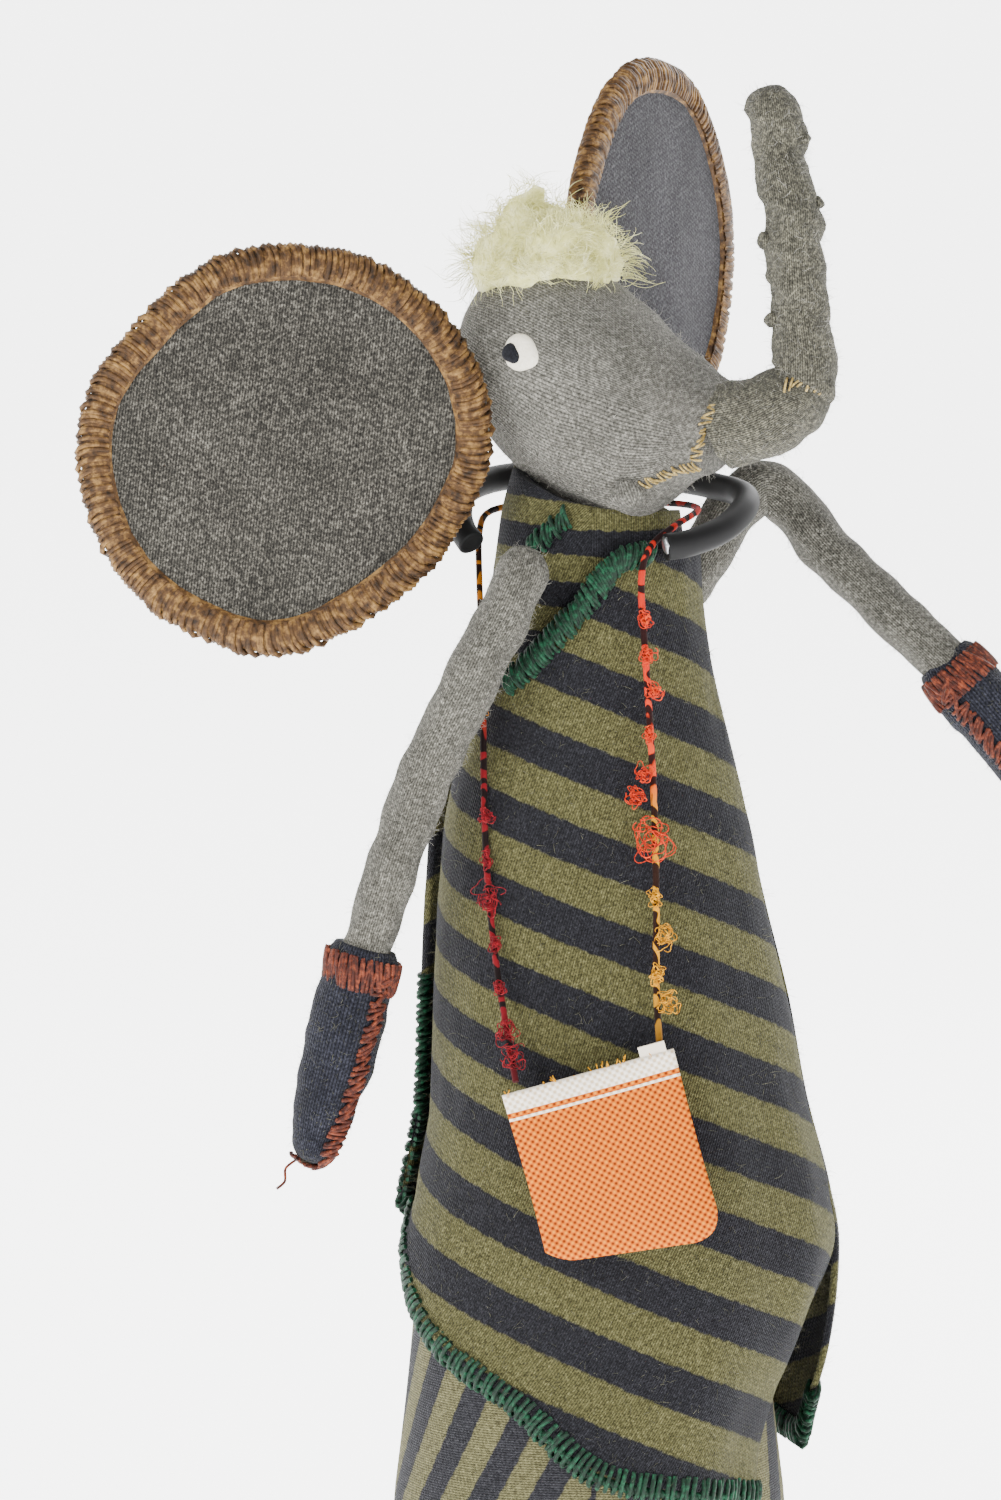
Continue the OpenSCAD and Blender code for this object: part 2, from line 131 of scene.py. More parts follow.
def loft(name, rings, material, turn=0.0):
    # rings of equal length, one UV unit a millimetre, wales running along the loft
    n = len(rings[0])
    widths = [sum((r[i] - r[i - 1]).length for i in range(n)) for r in rings]
    around = sum(sorted(widths)[len(widths) // 3:]) / (len(widths) - len(widths) // 3)
    points, uvs, faces, v = [], [], [], 0.0
    middles = [sum(r, Vector()) / n for r in rings]
    for j, ring in enumerate(rings):
        if j:
            v += (middles[j] - middles[j - 1]).length
        for k in range(n + 1):
            points.append(ring[k % n])
            uvs.append((around * k / n + turn * v, v))
    m = n + 1
    for j in range(len(rings) - 1):
        for k in range(n):
            a = j * m + k
            faces.append((a, a + 1, a + m + 1, a + m))
    for j in (0, len(rings) - 1):  # both ends are closed to a point in their middle
        points.append(middles[j])
        uvs.append((around / 2, 0 if j == 0 else v))
        c = len(points) - 1
        for k in range(n):
            a = j * m + k
            faces.append((a + 1, a, c) if j == 0 else (a, a + 1, c))
    piece = meshObject(name, points, faces, material, uvs)
    tidyMesh(piece)
    return piece


def wallFaces(rows, cols, sides=False):
    # two grids of points, outer wall then inner, joined along their edges
    w, m, faces = cols + 1, (rows + 1) * (cols + 1), []
    for j in range(rows):
        for k in range(cols):
            a = j * w + k
            faces.append((a, a + 1, a + w + 1, a + w))
            faces.append((m + a, m + a + w, m + a + w + 1, m + a + 1))
    for j in (0, rows):
        for k in range(cols):
            a = j * w + k
            faces.append((a, m + a, m + a + 1, a + 1) if j == 0 else (a, a + 1, m + a + 1, m + a))
    if sides:
        for k in (0, cols):
            for j in range(rows):
                a = j * w + k
                faces.append((a, a + w, m + a + w, m + a) if k == 0 else (a, m + a, m + a + w, a + w))
    return faces


def tidyMesh(piece):
    # merges doubled points and turns every face outwards
    bm = bmesh.new()
    bm.from_mesh(piece.data)
    bmesh.ops.remove_doubles(bm, verts=bm.verts, dist=1e-6)
    bmesh.ops.recalc_face_normals(bm, faces=bm.faces)
    bm.to_mesh(piece.data)
    bm.free()


def heading(route, i):  # the direction of a line at its point i
    return (route[min(i + 1, len(route) - 1)] - route[max(i - 1, 0)]).normalized()


def sideVectors(route, side):
    # the direction at each point, with a vector square to it that doesn't twist
    sides, s = [], Vector(side)
    for i in range(len(route)):
        t = heading(route, i)
        s = (s - s.dot(t) * t).normalized()
        sides.append((t, s.copy()))
    return sides


def tubeRings(route, radii, side, n=24, lumps=0.0, grain=0.12, seed=0.0):
    # circles along a route, made uneven by lumps of the given height
    rings = []
    for i, (t, s) in enumerate(sideVectors(route, side)):
        u = t.cross(s)
        ring = []
        for k in range(n):
            a = 2 * math.pi * k / n
            outward = math.cos(a) * s + math.sin(a) * u
            p = route[i] + outward * radii[i]
            bump = noise.noise(p * grain + Vector((seed, 0, 0)))
            ring.append(p + outward * bump * lumps)
        rings.append(ring)
    return rings


def makeCamera():
    look = {"aim": (-18.6, 0, 226), "away": 868, "lift": 5.0, "lens": 100}
    lift = math.radians(look["lift"])
    aim = Vector(look["aim"])
    data = bpy.data.cameras.new("camera")
    data.lens = look["lens"]
    data.clip_end = 20
    camera = bpy.data.objects.new("camera", data)
    camera.location = (aim + look["away"] * Vector((0, -math.cos(lift), math.sin(lift)))) * mm
    camera.rotation_euler = (math.pi / 2 - lift, 0, 0)
    bpy.context.scene.collection.objects.link(camera)
    bpy.context.scene.camera = camera


makeCamera()


def knitPattern(tree, wale, course):
    # V-shaped stockinette stitches from the cloth's own UV, in millimetres
    uv = addNode(tree, "ShaderNodeUVMap", {"uv_map": "cloth"})
    parts = addNode(tree, "ShaderNodeSeparateXYZ", links={0: uv.outputs[0]})
    across = addNode(tree, "ShaderNodeMath", {"operation": "DIVIDE", 1: wale}, {0: parts.outputs[0]})
    tri = addNode(tree, "ShaderNodeMath", {"operation": "PINGPONG", 1: 0.5}, {0: across.outputs[0]})
    along = addNode(tree, "ShaderNodeMath", {"operation": "DIVIDE", 1: course}, {0: parts.outputs[1]})
    slant = addNode(tree, "ShaderNodeMath", {"operation": "MULTIPLY_ADD", 1: -1.3},
                    {0: tri.outputs[0], 2: along.outputs[0]})
    turn = addNode(tree, "ShaderNodeMath", {"operation": "MULTIPLY", 1: 2 * math.pi}, {0: slant.outputs[0]})
    rib = addNode(tree, "ShaderNodeMath", {"operation": "SINE"}, {0: turn.outputs[0]})
    swell = addNode(tree, "ShaderNodeMath", {"operation": "MULTIPLY", 1: 2 * math.pi}, {0: tri.outputs[0]})
    leg = addNode(tree, "ShaderNodeMath", {"operation": "SINE"}, {0: swell.outputs[0]})
    ribHalf = addNode(tree, "ShaderNodeMath", {"operation": "MULTIPLY_ADD", 1: 0.32, 2: 0.68}, {0: rib.outputs[0]})
    height = addNode(tree, "ShaderNodeMath", {"operation": "MULTIPLY"},
                     {0: leg.outputs[0], 1: ribHalf.outputs[0]})
    return height.outputs[0], parts


def fibreNoise(tree, scale, detail=4.0, rough=0.6):  # scale is cells to a metre
    place = addNode(tree, "ShaderNodeTexCoord")
    return addNode(tree, "ShaderNodeTexNoise", {"Scale": scale, "Detail": detail, "Roughness": rough},
                   {"Vector": place.outputs["Object"]}).outputs[0]


def rampOf(tree, source, stops):  # stops of (place, colour)
    ramp = addNode(tree, "ShaderNodeValToRGB", links={0: source})
    elements = ramp.color_ramp.elements
    while len(elements) < len(stops):
        elements.new(0.5)
    for element, (at, colour) in zip(elements, stops):
        element.position = at
        element.color = linearColour(colour)
    return ramp.outputs[0]


def mixColour(tree, factor, first, second, kind="MIX"):
    mix = addNode(tree, "ShaderNodeMix", {"data_type": "RGBA", "blend_type": kind})
    for socket, value in ((0, factor), (6, first), (7, second)):
        if hasattr(value, "links") or hasattr(value, "node"):
            tree.links.new(value, mix.inputs[socket])
        else:
            mix.inputs[socket].default_value = value
    return mix.outputs[2]


def addBump(tree, shader, height, strength, distance):
    bump = addNode(tree, "ShaderNodeBump", {"Strength": strength, "Distance": distance * mm}, {"Height": height})
    tree.links.new(bump.outputs[0], shader.inputs["Normal"])
    return bump


# cloth scatters light evenly, with only a trace of sheen from its loose fibres
clothLook = {"Roughness": 0.95, "Specular IOR Level": 0.12, "Sheen Weight": 0.06, "Sheen Roughness": 0.45}


def heatherKnit(name, dark, middle, light, wale=1.05, course=0.8, paintedShadeStrength=0.55):
    # cotton and wool sock knit: matt, mottled with paler fibres, V stitches, and painted shade darkening the hollows
    # between the stitch legs
    material, tree, shader = newMaterial(name, clothLook)
    height, _ = knitPattern(tree, wale, course)
    heather = rampOf(tree, fibreNoise(tree, 1300, 4, 0.75), [(0.28, dark), (0.50, middle), (0.70, light)])
    patches = rampOf(tree, fibreNoise(tree, 90, 3, 0.5), [(0.25, "#b9b9b9"), (0.75, "#ffffff")])
    soft = mixColour(tree, 0.7, heather, patches, "MULTIPLY")
    # painted shade: the stitch hollows are darkened in the colour, multiplied over the mottled knit
    paintedStitchShade = rampOf(tree, height, [(0.0, "#4c4c4c"), (0.5, "#ffffff")])
    knitWithPaintedShade = mixColour(tree, paintedShadeStrength, soft, paintedStitchShade, "MULTIPLY")
    tree.links.new(knitWithPaintedShade, shader.inputs["Base Color"])
    addBump(tree, shader, height, 0.75, 0.35)
    return material


def stripedKnit(name, olive, charcoal, band):
    # fine cotton sock knit in two-colour bands, with a paler fuzz on the olive and painted shade in the hollows between
    # the stitch legs
    material, tree, shader = newMaterial(name, clothLook)
    height, parts = knitPattern(tree, 1.05, 0.8)
    wobble = fibreNoise(tree, 700, 2, 0.5)
    ragged = addNode(tree, "ShaderNodeMath", {"operation": "MULTIPLY_ADD", 1: 1.1}, {0: wobble, 2: parts.outputs[1]})
    cycle = addNode(tree, "ShaderNodeMath", {"operation": "DIVIDE", 1: 2 * band}, {0: ragged.outputs[0]})
    part = addNode(tree, "ShaderNodeMath", {"operation": "FRACT"}, {0: cycle.outputs[0]})
    fold = addNode(tree, "ShaderNodeMath", {"operation": "PINGPONG", 1: 0.5}, {0: part.outputs[0]})
    edge = addNode(tree, "ShaderNodeMapRange", {1: 0.235, 2: 0.265}, {0: fold.outputs[0]})
    fuzz = fibreNoise(tree, 1500, 3, 0.7)
    oliveMix = rampOf(tree, fuzz, [(0.3, olive[0]), (0.5, olive[1]), (0.72, olive[2])])
    charcoalMix = rampOf(tree, fuzz, [(0.3, charcoal[0]), (0.5, charcoal[1]), (0.72, charcoal[2])])
    stripes = mixColour(tree, edge.outputs[0], charcoalMix, oliveMix)
    # painted shade: the stitch hollows are darkened in the colour, multiplied over the stripes
    paintedStitchShade = rampOf(tree, height, [(0.0, "#5a5a5a"), (0.5, "#ffffff")])
    knitWithPaintedShade = mixColour(tree, 0.75, stripes, paintedStitchShade, "MULTIPLY")
    tree.links.new(knitWithPaintedShade, shader.inputs["Base Color"])
    addBump(tree, shader, height, 0.7, 0.35)
    return material


def spunThread(name, dark, middle, light, rough=0.62, sheen=0.04, scale=900):
    # glossy embroidery cotton: streaks of tone from stitch to stitch
    material, tree, shader = newMaterial(name, {"Roughness": rough, "Specular IOR Level": 0.22,
                                                "Sheen Weight": sheen, "Sheen Roughness": 0.4})
    tone = rampOf(tree, fibreNoise(tree, scale, 3, 0.7), [(0.32, dark), (0.5, middle), (0.68, light)])
    tree.links.new(tone, shader.inputs["Base Color"])
    addBump(tree, shader, fibreNoise(tree, scale * 3, 2, 0.6), 0.5, 0.15)
    return material


def pressedFelt(name, dark, light):
    # wool felt: matted fibres with no weave
    material, tree, shader = newMaterial(name, clothLook)
    tone = rampOf(tree, fibreNoise(tree, 1500, 5, 0.7), [(0.3, dark), (0.7, light)])
    tree.links.new(tone, shader.inputs["Base Color"])
    addBump(tree, shader, fibreNoise(tree, 2500, 3, 0.6), 0.5, 0.2)
    return material


def wovenCanvas(name):
    # plain weave, orange warp with a pale weft that shows as dots, and a white woven selvedge
    # the thread pitch is coarser than real canvas, so that it shows
    material, tree, shader = newMaterial(name, dict(clothLook, **{"Roughness": 0.85, "Sheen Weight": 0.0}))
    uv = addNode(tree, "ShaderNodeUVMap", {"uv_map": "cloth"})
    parts = addNode(tree, "ShaderNodeSeparateXYZ", links={0: uv.outputs[0]})
    pitch = 0.78
    waves = []
    for axis in (0, 1):
        turn = addNode(tree, "ShaderNodeMath", {"operation": "MULTIPLY", 1: math.pi / pitch},
                       {0: parts.outputs[axis]})
        waves.append(addNode(tree, "ShaderNodeMath", {"operation": "SINE"}, {0: turn.outputs[0]}).outputs[0])
    weave = addNode(tree, "ShaderNodeMath", {"operation": "MULTIPLY"}, {0: waves[0], 1: waves[1]})
    lift = addNode(tree, "ShaderNodeMath", {"operation": "MULTIPLY_ADD", 1: 0.5, 2: 0.5}, {0: weave.outputs[0]})
    orange = rampOf(tree, lift.outputs[0], [(0.10, "#6a2800"), (0.42, "#b85200"), (0.98, "#dc8204")])
    cream = rampOf(tree, lift.outputs[0], [(0.15, "#cdb695"), (0.7, "#f8efe0")])
    low = addNode(tree, "ShaderNodeMath", {"operation": "GREATER_THAN", 1: -3.9}, {0: parts.outputs[1]})
    lineA = addNode(tree, "ShaderNodeMath", {"operation": "COMPARE", 1: -5.3, 2: 0.28}, {0: parts.outputs[1]})
    band = addNode(tree, "ShaderNodeMath", {"operation": "MAXIMUM"}, {0: low.outputs[0], 1: lineA.outputs[0]})
    cloth = mixColour(tree, band.outputs[0], orange, cream)
    tree.links.new(cloth, shader.inputs["Base Color"])
    addBump(tree, shader, lift.outputs[0], 0.7, 0.25)
    return material


# sock knits: cotton and wool spun together, matt and mottled
# the last setting in each is how strong the painted shade between the stitches is
greyKnit = heatherKnit("greySockKnit", "#3c3b35", "#6c6a63", "#a5a298", paintedShadeStrength=0.8)
trunkKnit = heatherKnit("greyTrunkKnit", "#2a2923", "#57554b", "#98947f", wale=0.9, paintedShadeStrength=0.9)
armKnit = heatherKnit("greyArmKnit", "#33322d", "#66645c", "#a6a397", paintedShadeStrength=0.85)
# the ears are stretched over a hoop, so their stitches are wider, with stronger painted shade between them
earKnit = heatherKnit("darkEarKnit", "#1c1b18", "#45433e", "#8a867b", wale=1.15, course=0.95, paintedShadeStrength=0.95)
earKnitBack = heatherKnit("bluishEarKnit", "#1a1a1d", "#38373b", "#646265", wale=1.15, course=0.95, paintedShadeStrength=0.9)
mittenKnit = heatherKnit("navyGloveKnit", "#14151b", "#262730", "#41424d", wale=1.3, course=0.9, paintedShadeStrength=0.95)
# striped cotton sock knits, with the width of a stripe in millimetres
oliveTones = ("#2e2c17", "#4f4d2f", "#716e4a")
charcoalTones = ("#0f0f12", "#1d1d21", "#303035")
togaKnit = stripedKnit("stripedTogaKnit", oliveTones, charcoalTones, 8.0)
bodiceKnit = stripedKnit("stripedBodiceKnit", oliveTones, charcoalTones, 5.4)
skirtKnit = stripedKnit("stripedSkirtKnit", ("#403d28", "#625f42", "#807c58"),
                        ("#17171a", "#2a2a2e", "#3e3e42"), 6.2)  # worn paler than the toga
# embroidery cotton: a soft gloss that breaks up from stitch to stitch
goldThread = spunThread("goldenBrownSatinThread", "#1e1206", "#4a3218", "#866638", scale=420)
greenThread = spunThread("greenPearlCotton", "#03110a", "#062616", "#164d33")
brownThread = spunThread("brownMittenThread", "#1e0a06", "#451b10", "#7c3b22")
beigeThread = spunThread("beigeSeamThread", "#5e4d28", "#88733f", "#b8a26a")
# pressed wool felt: flat and even
creamFelt = pressedFelt("creamFelt", "#d9d1ba", "#f1ebdb")
blackFelt = pressedFelt("blackFelt", "#0c0c0f", "#1e1f24")
cardTube = pressedFelt("darkFeltTube", "#1c1b19", "#34322d")
# loose wool: bright where light passes through the fibres
woolFibre = spunThread("creamWoolFibre", "#bdbb6e", "#dcd993", "#f0eebf", rough=0.85, sheen=0.3, scale=300)
greyFibre = spunThread("looseGreyFibre", "#5a5953", "#8a8880", "#bab7ad", rough=0.9, scale=200)
darkFibre = spunThread("looseDarkFibre", "#2a2a24", "#4c4b3c", "#77755e", rough=0.9, scale=200)
pouchCanvas = wovenCanvas("orangeCanvas")
# soft black vinyl slipped over the clip: a dull, broad highlight
rubberSleeve, rubberTree, rubberShader = newMaterial(
    "blackVinylSleeve", {"Base Color": linearColour("#0b0b0c"), "Roughness": 0.62, "Specular IOR Level": 0.2})
addBump(rubberTree, rubberShader, fibreNoise(rubberTree, 260, 2, 0.5), 0.12, 0.2)
# drawn steel wire, scuffed: bright with fine scratches
steelWire, steelTree, steelShader = newMaterial(
    "scuffedSteel", {"Base Color": linearColour("#b9bcc0"), "Metallic": 1.0, "Roughness": 0.35})
addBump(steelTree, steelShader, fibreNoise(steelTree, 900, 2, 0.5), 0.3, 0.1)
print("materials made")


def stitchTree():
    # one bent strand set again and again along an edge, each turned a little differently
    tree = bpy.data.node_groups.new("stitchesAlongEdge", "GeometryNodeTree")
    face = tree.interface
    face.new_socket("Geometry", in_out="INPUT", socket_type="NodeSocketGeometry")
    wanted = {"Spacing": 1.0, "Reach": 3.0, "Flat": 1.0, "Sweep": 4.0, "Start": -2.0, "Thread": 0.4, "Wander": 0.15,
              "Lean": 0.2}
    for name, value in wanted.items():
        face.new_socket(name, in_out="INPUT", socket_type="NodeSocketFloat").default_value = value
    face.new_socket("Seed", in_out="INPUT", socket_type="NodeSocketInt").default_value = 7
    face.new_socket("Thread material", in_out="INPUT", socket_type="NodeSocketMaterial")
    face.new_socket("Geometry", in_out="OUTPUT", socket_type="NodeSocketGeometry")
    start = addNode(tree, "NodeGroupInput")
    asCurve = addNode(tree, "GeometryNodeMeshToCurve", links={0: start.outputs["Geometry"]})
    spaced = addNode(tree, "GeometryNodeResampleCurve", {"mode": "LENGTH"},
                     {0: asCurve.outputs[0], "Length": start.outputs["Spacing"]})
    arc = addNode(tree, "GeometryNodeCurveArc", {"Resolution": 9},
                  {"Radius": start.outputs["Reach"], "Start Angle": start.outputs["Start"],
                   "Sweep Angle": start.outputs["Sweep"]})
    shape = addNode(tree, "ShaderNodeCombineXYZ", {1: 1.0, 2: 1.0}, {0: start.outputs["Flat"]})
    pressed = addNode(tree, "GeometryNodeTransform", links={0: arc.outputs[0], "Scale": shape.outputs[0]})
    profile = addNode(tree, "GeometryNodeCurvePrimitiveCircle", {"Resolution": 6},
                      {"Radius": start.outputs["Thread"]})
    strand = addNode(tree, "GeometryNodeCurveToMesh", {"Fill Caps": True},
                     {0: pressed.outputs[0], 1: profile.outputs[0]})
    outward = addNode(tree, "GeometryNodeInputNamedAttribute", {"data_type": "FLOAT_VECTOR", "Name": "outward"})
    across = addNode(tree, "GeometryNodeInputNamedAttribute", {"data_type": "FLOAT_VECTOR", "Name": "across"})
    faceOut = addNode(tree, "FunctionNodeAlignRotationToVector", {"axis": "X"}, {2: outward.outputs[0]})
    turned = addNode(tree, "FunctionNodeAlignRotationToVector", {"axis": "Y", "pivot_axis": "X"},
                     {0: faceOut.outputs[0], 2: across.outputs[0]})
    lean = addNode(tree, "FunctionNodeRandomValue", {"data_type": "FLOAT", 2: -1.0, 3: 1.0},
                   {"Seed": start.outputs["Seed"]})
    leanBy = addNode(tree, "ShaderNodeMath", {"operation": "MULTIPLY_ADD"},
                     {0: lean.outputs[1], 1: start.outputs["Wander"], 2: start.outputs["Lean"]})
    leanTurn = addNode(tree, "ShaderNodeCombineXYZ", links={0: leanBy.outputs[0]})
    rotated = addNode(tree, "FunctionNodeRotateRotation", {"rotation_space": "LOCAL"},
                      {0: turned.outputs[0], 1: leanTurn.outputs[0]})
    size = addNode(tree, "FunctionNodeRandomValue", {"data_type": "FLOAT", 2: 0.9, 3: 1.1},
                   {"Seed": start.outputs["Seed"]})
    placed = addNode(tree, "GeometryNodeInstanceOnPoints", None,
                     {"Points": spaced.outputs[0], "Instance": strand.outputs[0],
                      "Rotation": rotated.outputs[0], "Scale": size.outputs[1]})
    real = addNode(tree, "GeometryNodeRealizeInstances", links={0: placed.outputs[0]})
    done = addNode(tree, "GeometryNodeSetMaterial", links={0: real.outputs[0], 2: start.outputs["Thread material"]})
    smooth = addNode(tree, "GeometryNodeSetShadeSmooth", links={0: done.outputs[0]})
    finish = addNode(tree, "NodeGroupOutput")
    tree.links.new(smooth.outputs[0], finish.inputs[0])
    return tree


stitches = stitchTree()
halfTurn = {"Start": -math.pi / 2, "Sweep": math.pi}  # a stitch that stands in a half circle over its seam


def stitchRow(name, route, outwards, acrosses, material, settings, closed=False):
    # a guide line that knows which way is out and across, turned into a row of thread
    n = len(route)
    mesh = bpy.data.meshes.new(name + "Guide")
    edges = [(i, i + 1) for i in range(n - 1)] + ([(n - 1, 0)] if closed else [])
    mesh.from_pydata([tuple(Vector(p) * mm) for p in route], edges, [])
    for label, vectors in (("outward", outwards), ("across", acrosses)):
        attribute = mesh.attributes.new(label, "FLOAT_VECTOR", "POINT")
        for i, v in enumerate(vectors):
            attribute.data[i].vector = v
    guide = bpy.data.objects.new(name, mesh)
    bpy.context.scene.collection.objects.link(guide)
    modifier = guide.modifiers.new("stitches", "NODES")
    modifier.node_group = stitches
    wanted = dict(settings)
    lengths = ("Spacing", "Reach", "Thread")
    for item in stitches.interface.items_tree:
        if item.in_out == "INPUT" and item.name in wanted:
            value = wanted[item.name]
            modifier[item.identifier] = value * mm if item.name in lengths else value
        if item.name == "Thread material":
            modifier[item.identifier] = material
    bpy.context.view_layer.update()
    whole = bpy.data.meshes.new_from_object(guide.evaluated_get(bpy.context.evaluated_depsgraph_get()))
    whole.name = name
    guide.modifiers.clear()
    guide.data = whole
    if not whole.materials:
        whole.materials.append(material)
    return guide


def finishPiece(piece, body, slot, *nodes):
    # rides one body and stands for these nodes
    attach(piece, body)
    if nodes:
        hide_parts(*nodes)


def nearest(piece, point):
    _, where, normal, _ = piece.closest_point_on_mesh(Vector(point) * mm)
    return Vector(where) / mm, Vector(normal)


def twistedRope(name, route, side, material, strand, ply, pitch):
    # two or three strands wound round a line
    line = sideVectors(route, side)
    points, faces, n = [], [], 6
    for p in range(ply):
        path, run = [], 0.0
        for i, (t, s) in enumerate(line):
            if i:
                run += (route[i] - route[i - 1]).length
            a = 2 * math.pi * (run / pitch + p / ply)
            u = t.cross(s)
            path.append(route[i] + strand * 0.85 * (math.cos(a) * s + math.sin(a) * u))
        rings = tubeRings(path, [strand] * len(path), side, n)
        base = len(points)
        for ring in rings:
            points.extend(ring)
        for j in range(len(rings) - 1):
            for k in range(n):
                a, b = base + j * n + k, base + j * n + (k + 1) % n
                faces.append((a, b, b + n, a + n))
        faces.append(tuple(base + k for k in reversed(range(n))))
        faces.append(tuple(base + (len(rings) - 1) * n + k for k in range(n)))
    return meshObject(name, points, faces, material)


def patchOn(surface, name, centre, upHint, outline, thick, material, lift=0.1):
    # a small domed patch lying on a surface, drawn by its radius at each angle
    middle, normal = nearest(surface, centre)
    up = Vector(upHint)
    up = (up - up.dot(normal) * normal).normalized()
    right = up.cross(normal)
    n, layers = 36, 5
    points, faces = [], []
    for side in (1, 0):
        for j in range(layers + 1):
            f = j / layers
            for k in range(n):
                a = 2 * math.pi * k / n
                r = outline(a) * (f if j else 0.001)
                at, _ = nearest(surface, middle + (right * math.cos(a) + up * math.sin(a)) * r)
                rise = lift + thick * math.sqrt(max(0.0, 1 - f ** 5)) if side else lift - 0.35
                points.append(at + normal * rise)
    m = (layers + 1) * n
    for j in range(layers):
        for k in range(n):
            a, b = j * n + k, j * n + (k + 1) % n
            faces.append((a, a + n, b + n, b))
            faces.append((m + a, m + b, m + b + n, m + a + n))
    rim = layers * n
    for k in range(n):
        a, b = rim + k, rim + (k + 1) % n
        faces.append((a, m + a, m + b, b))
    piece = meshObject(name, points, faces, material)
    tidyMesh(piece)
    return piece


def joined(name, parts):
    # several meshes on one body, made into one piece
    bm = bmesh.new()
    materials = []
    for part in parts:
        start = len(bm.faces)
        shift = {}
        for i, material in enumerate(part.data.materials):
            if material not in materials:
                materials.append(material)
            shift[i] = materials.index(material)
        bm.from_mesh(part.data)
        bm.faces.ensure_lookup_table()
        for face in bm.faces[start:]:
            face.material_index = shift.get(face.material_index, 0)
    whole = bpy.data.meshes.new(name)
    bm.to_mesh(whole)
    bm.free()
    for material in materials:
        whole.materials.append(material)
    for part in parts:
        bpy.data.objects.remove(part)
    piece = bpy.data.objects.new(name, whole)
    bpy.context.scene.collection.objects.link(piece)
    return piece


def strandRing(points, p, d, hint, thick):
    # three points round a fibre that runs along d
    side = d.cross(Vector(hint)).normalized()
    up = d.cross(side)
    for k in range(3):
        turn = 2 * math.pi * k / 3
        points.append(p + (side * math.cos(turn) + up * math.sin(turn)) * thick)


def strandFaces(faces, base, rings):
    # closes those rings into a fibre with both ends shut
    for i in range(rings - 1):
        for k in range(3):
            a, b = base + 3 * i + k, base + 3 * i + (k + 1) % 3
            faces.append((a, b, b + 3, a + 3))
    last = base + 3 * (rings - 1)
    faces.append((base + 2, base + 1, base))
    faces.append((last, last + 1, last + 2))


def fuzz(piece, count, long, material, seed):
    # single fibres standing out of a knit
    rnd = random.Random(seed)
    faces = piece.data.polygons
    weights = [face.area for face in faces]
    points, shapes = [], []
    for index in rnd.choices(range(len(faces)), weights, k=count):
        face = faces[index]
        a, b, c = (piece.data.vertices[v].co / mm for v in face.vertices[:3])
        u, v = rnd.random(), rnd.random()
        p = a + (b - a) * u + (c - a) * v * (1 - u)
        d = (face.normal * 0.6 + Vector((rnd.gauss(0, 0.6), rnd.gauss(0, 0.6), rnd.gauss(0, 0.6)))).normalized()
        bend = Vector((rnd.gauss(0, 0.5), rnd.gauss(0, 0.5), rnd.gauss(0, 0.5)))
        reach, base = long * rnd.uniform(0.4, 1.3), len(points)
        for i in range(4):
            strandRing(points, p, d, (0.4, 0.7, 0.6), 0.04 * (1 - 0.22 * i))
            p = p + d * reach / 3
            d = (d + bend * 0.5).normalized()
        strandFaces(shapes, base, 4)
    return meshObject(piece.name + "Fuzz", points, shapes, material)


straps = {"radius": 0.7,
          "right": [(-15.5, -31.4, 161.4), (-17.5, -26, 172), (-20, -20.5, 188), (-21.5, -17, 205), (-22, -15, 220),
                    (-22.2, -12, 237), (-22.6, -8.5, 252), (-23, -5, 263), (-23, 0, 271), (-21.5, 7, 275),
                    (-16, 13.5, 276.5), (-8, 16.6, 277), (0, 17.4, 277)],
          "left": [(13.5, -31.4, 169.4), (13, -28, 180), (13, -24.6, 200), (12.5, -22, 220), (11, -19.6, 245),
                   (10, -18.4, 262), (12, -16.8, 269), (17, -12, 273), (21.5, -5, 275.5), (22, 3, 276.5),
                   (17.5, 11.5, 277), (9, 16.6, 277), (0.1, 17.4, 277)]}


def yarnMaterial(name, stops, low, high):
    # the core's dark brown shows between slubs dyed along the yarn from stops, by height
    material, tree, shader = newMaterial(name, {"Roughness": 0.8, "Sheen Weight": 0.03, "Specular IOR Level": 0.15})
    place = addNode(tree, "ShaderNodeTexCoord")
    parts = addNode(tree, "ShaderNodeSeparateXYZ", links={0: place.outputs["Object"]})
    height = addNode(tree, "ShaderNodeMapRange", {1: low * mm, 2: high * mm}, {0: parts.outputs[2]})
    dye = rampOf(tree, height.outputs[0], stops)
    twist = addNode(tree, "ShaderNodeTexWave", {"wave_type": "BANDS", "bands_direction": "DIAGONAL",
                                                "Scale": 95.0, "Distortion": 9.0, "Detail": 1.0, "Detail Scale": 2.0},
                    {"Vector": place.outputs["Object"]})
    core = rampOf(tree, twist.outputs["Fac"], [(0.5, "#2a1a18"), (0.72, "#ffffff")])
    yarn = mixColour(tree, 1.0, dye, core, "MULTIPLY")
    tree.links.new(yarn, shader.inputs["Base Color"])
    addBump(tree, shader, twist.outputs["Fac"], 0.6, 0.2)
    return material


redYarn = yarnMaterial("crimsonSlubYarn", [(0.0, "#2c060b"), (0.15, "#650812"), (0.6, "#6c0a12"),
                                           (0.85, "#9a5b0c"), (1.0, "#9a5b0c")], 158, 277)
orangeYarn = yarnMaterial("orangeSlubYarn", [(0.0, "#4a2f0c"), (0.12, "#c08400"), (0.42, "#c08400"),
                                             (0.5, "#c93a0c"), (0.72, "#b8240a"), (1.0, "#9c1605")], 168, 277)
crimsonSlub = spunThread("crimsonWoolSlub", "#38040a", "#6c0813", "#96141e", rough=0.85, sheen=0.02)
orangeSlub = spunThread("orangeWoolSlub", "#7c1200", "#b82600", "#dc4a0c", rough=0.85, sheen=0.02)
yellowSlub = spunThread("yellowWoolSlub", "#7c5000", "#bc8000", "#e0a410", rough=0.85, sheen=0.02)
goldSlub = spunThread("goldWoolSlub", "#6a3e08", "#a8690e", "#d08f26", rough=0.85, sheen=0.02)


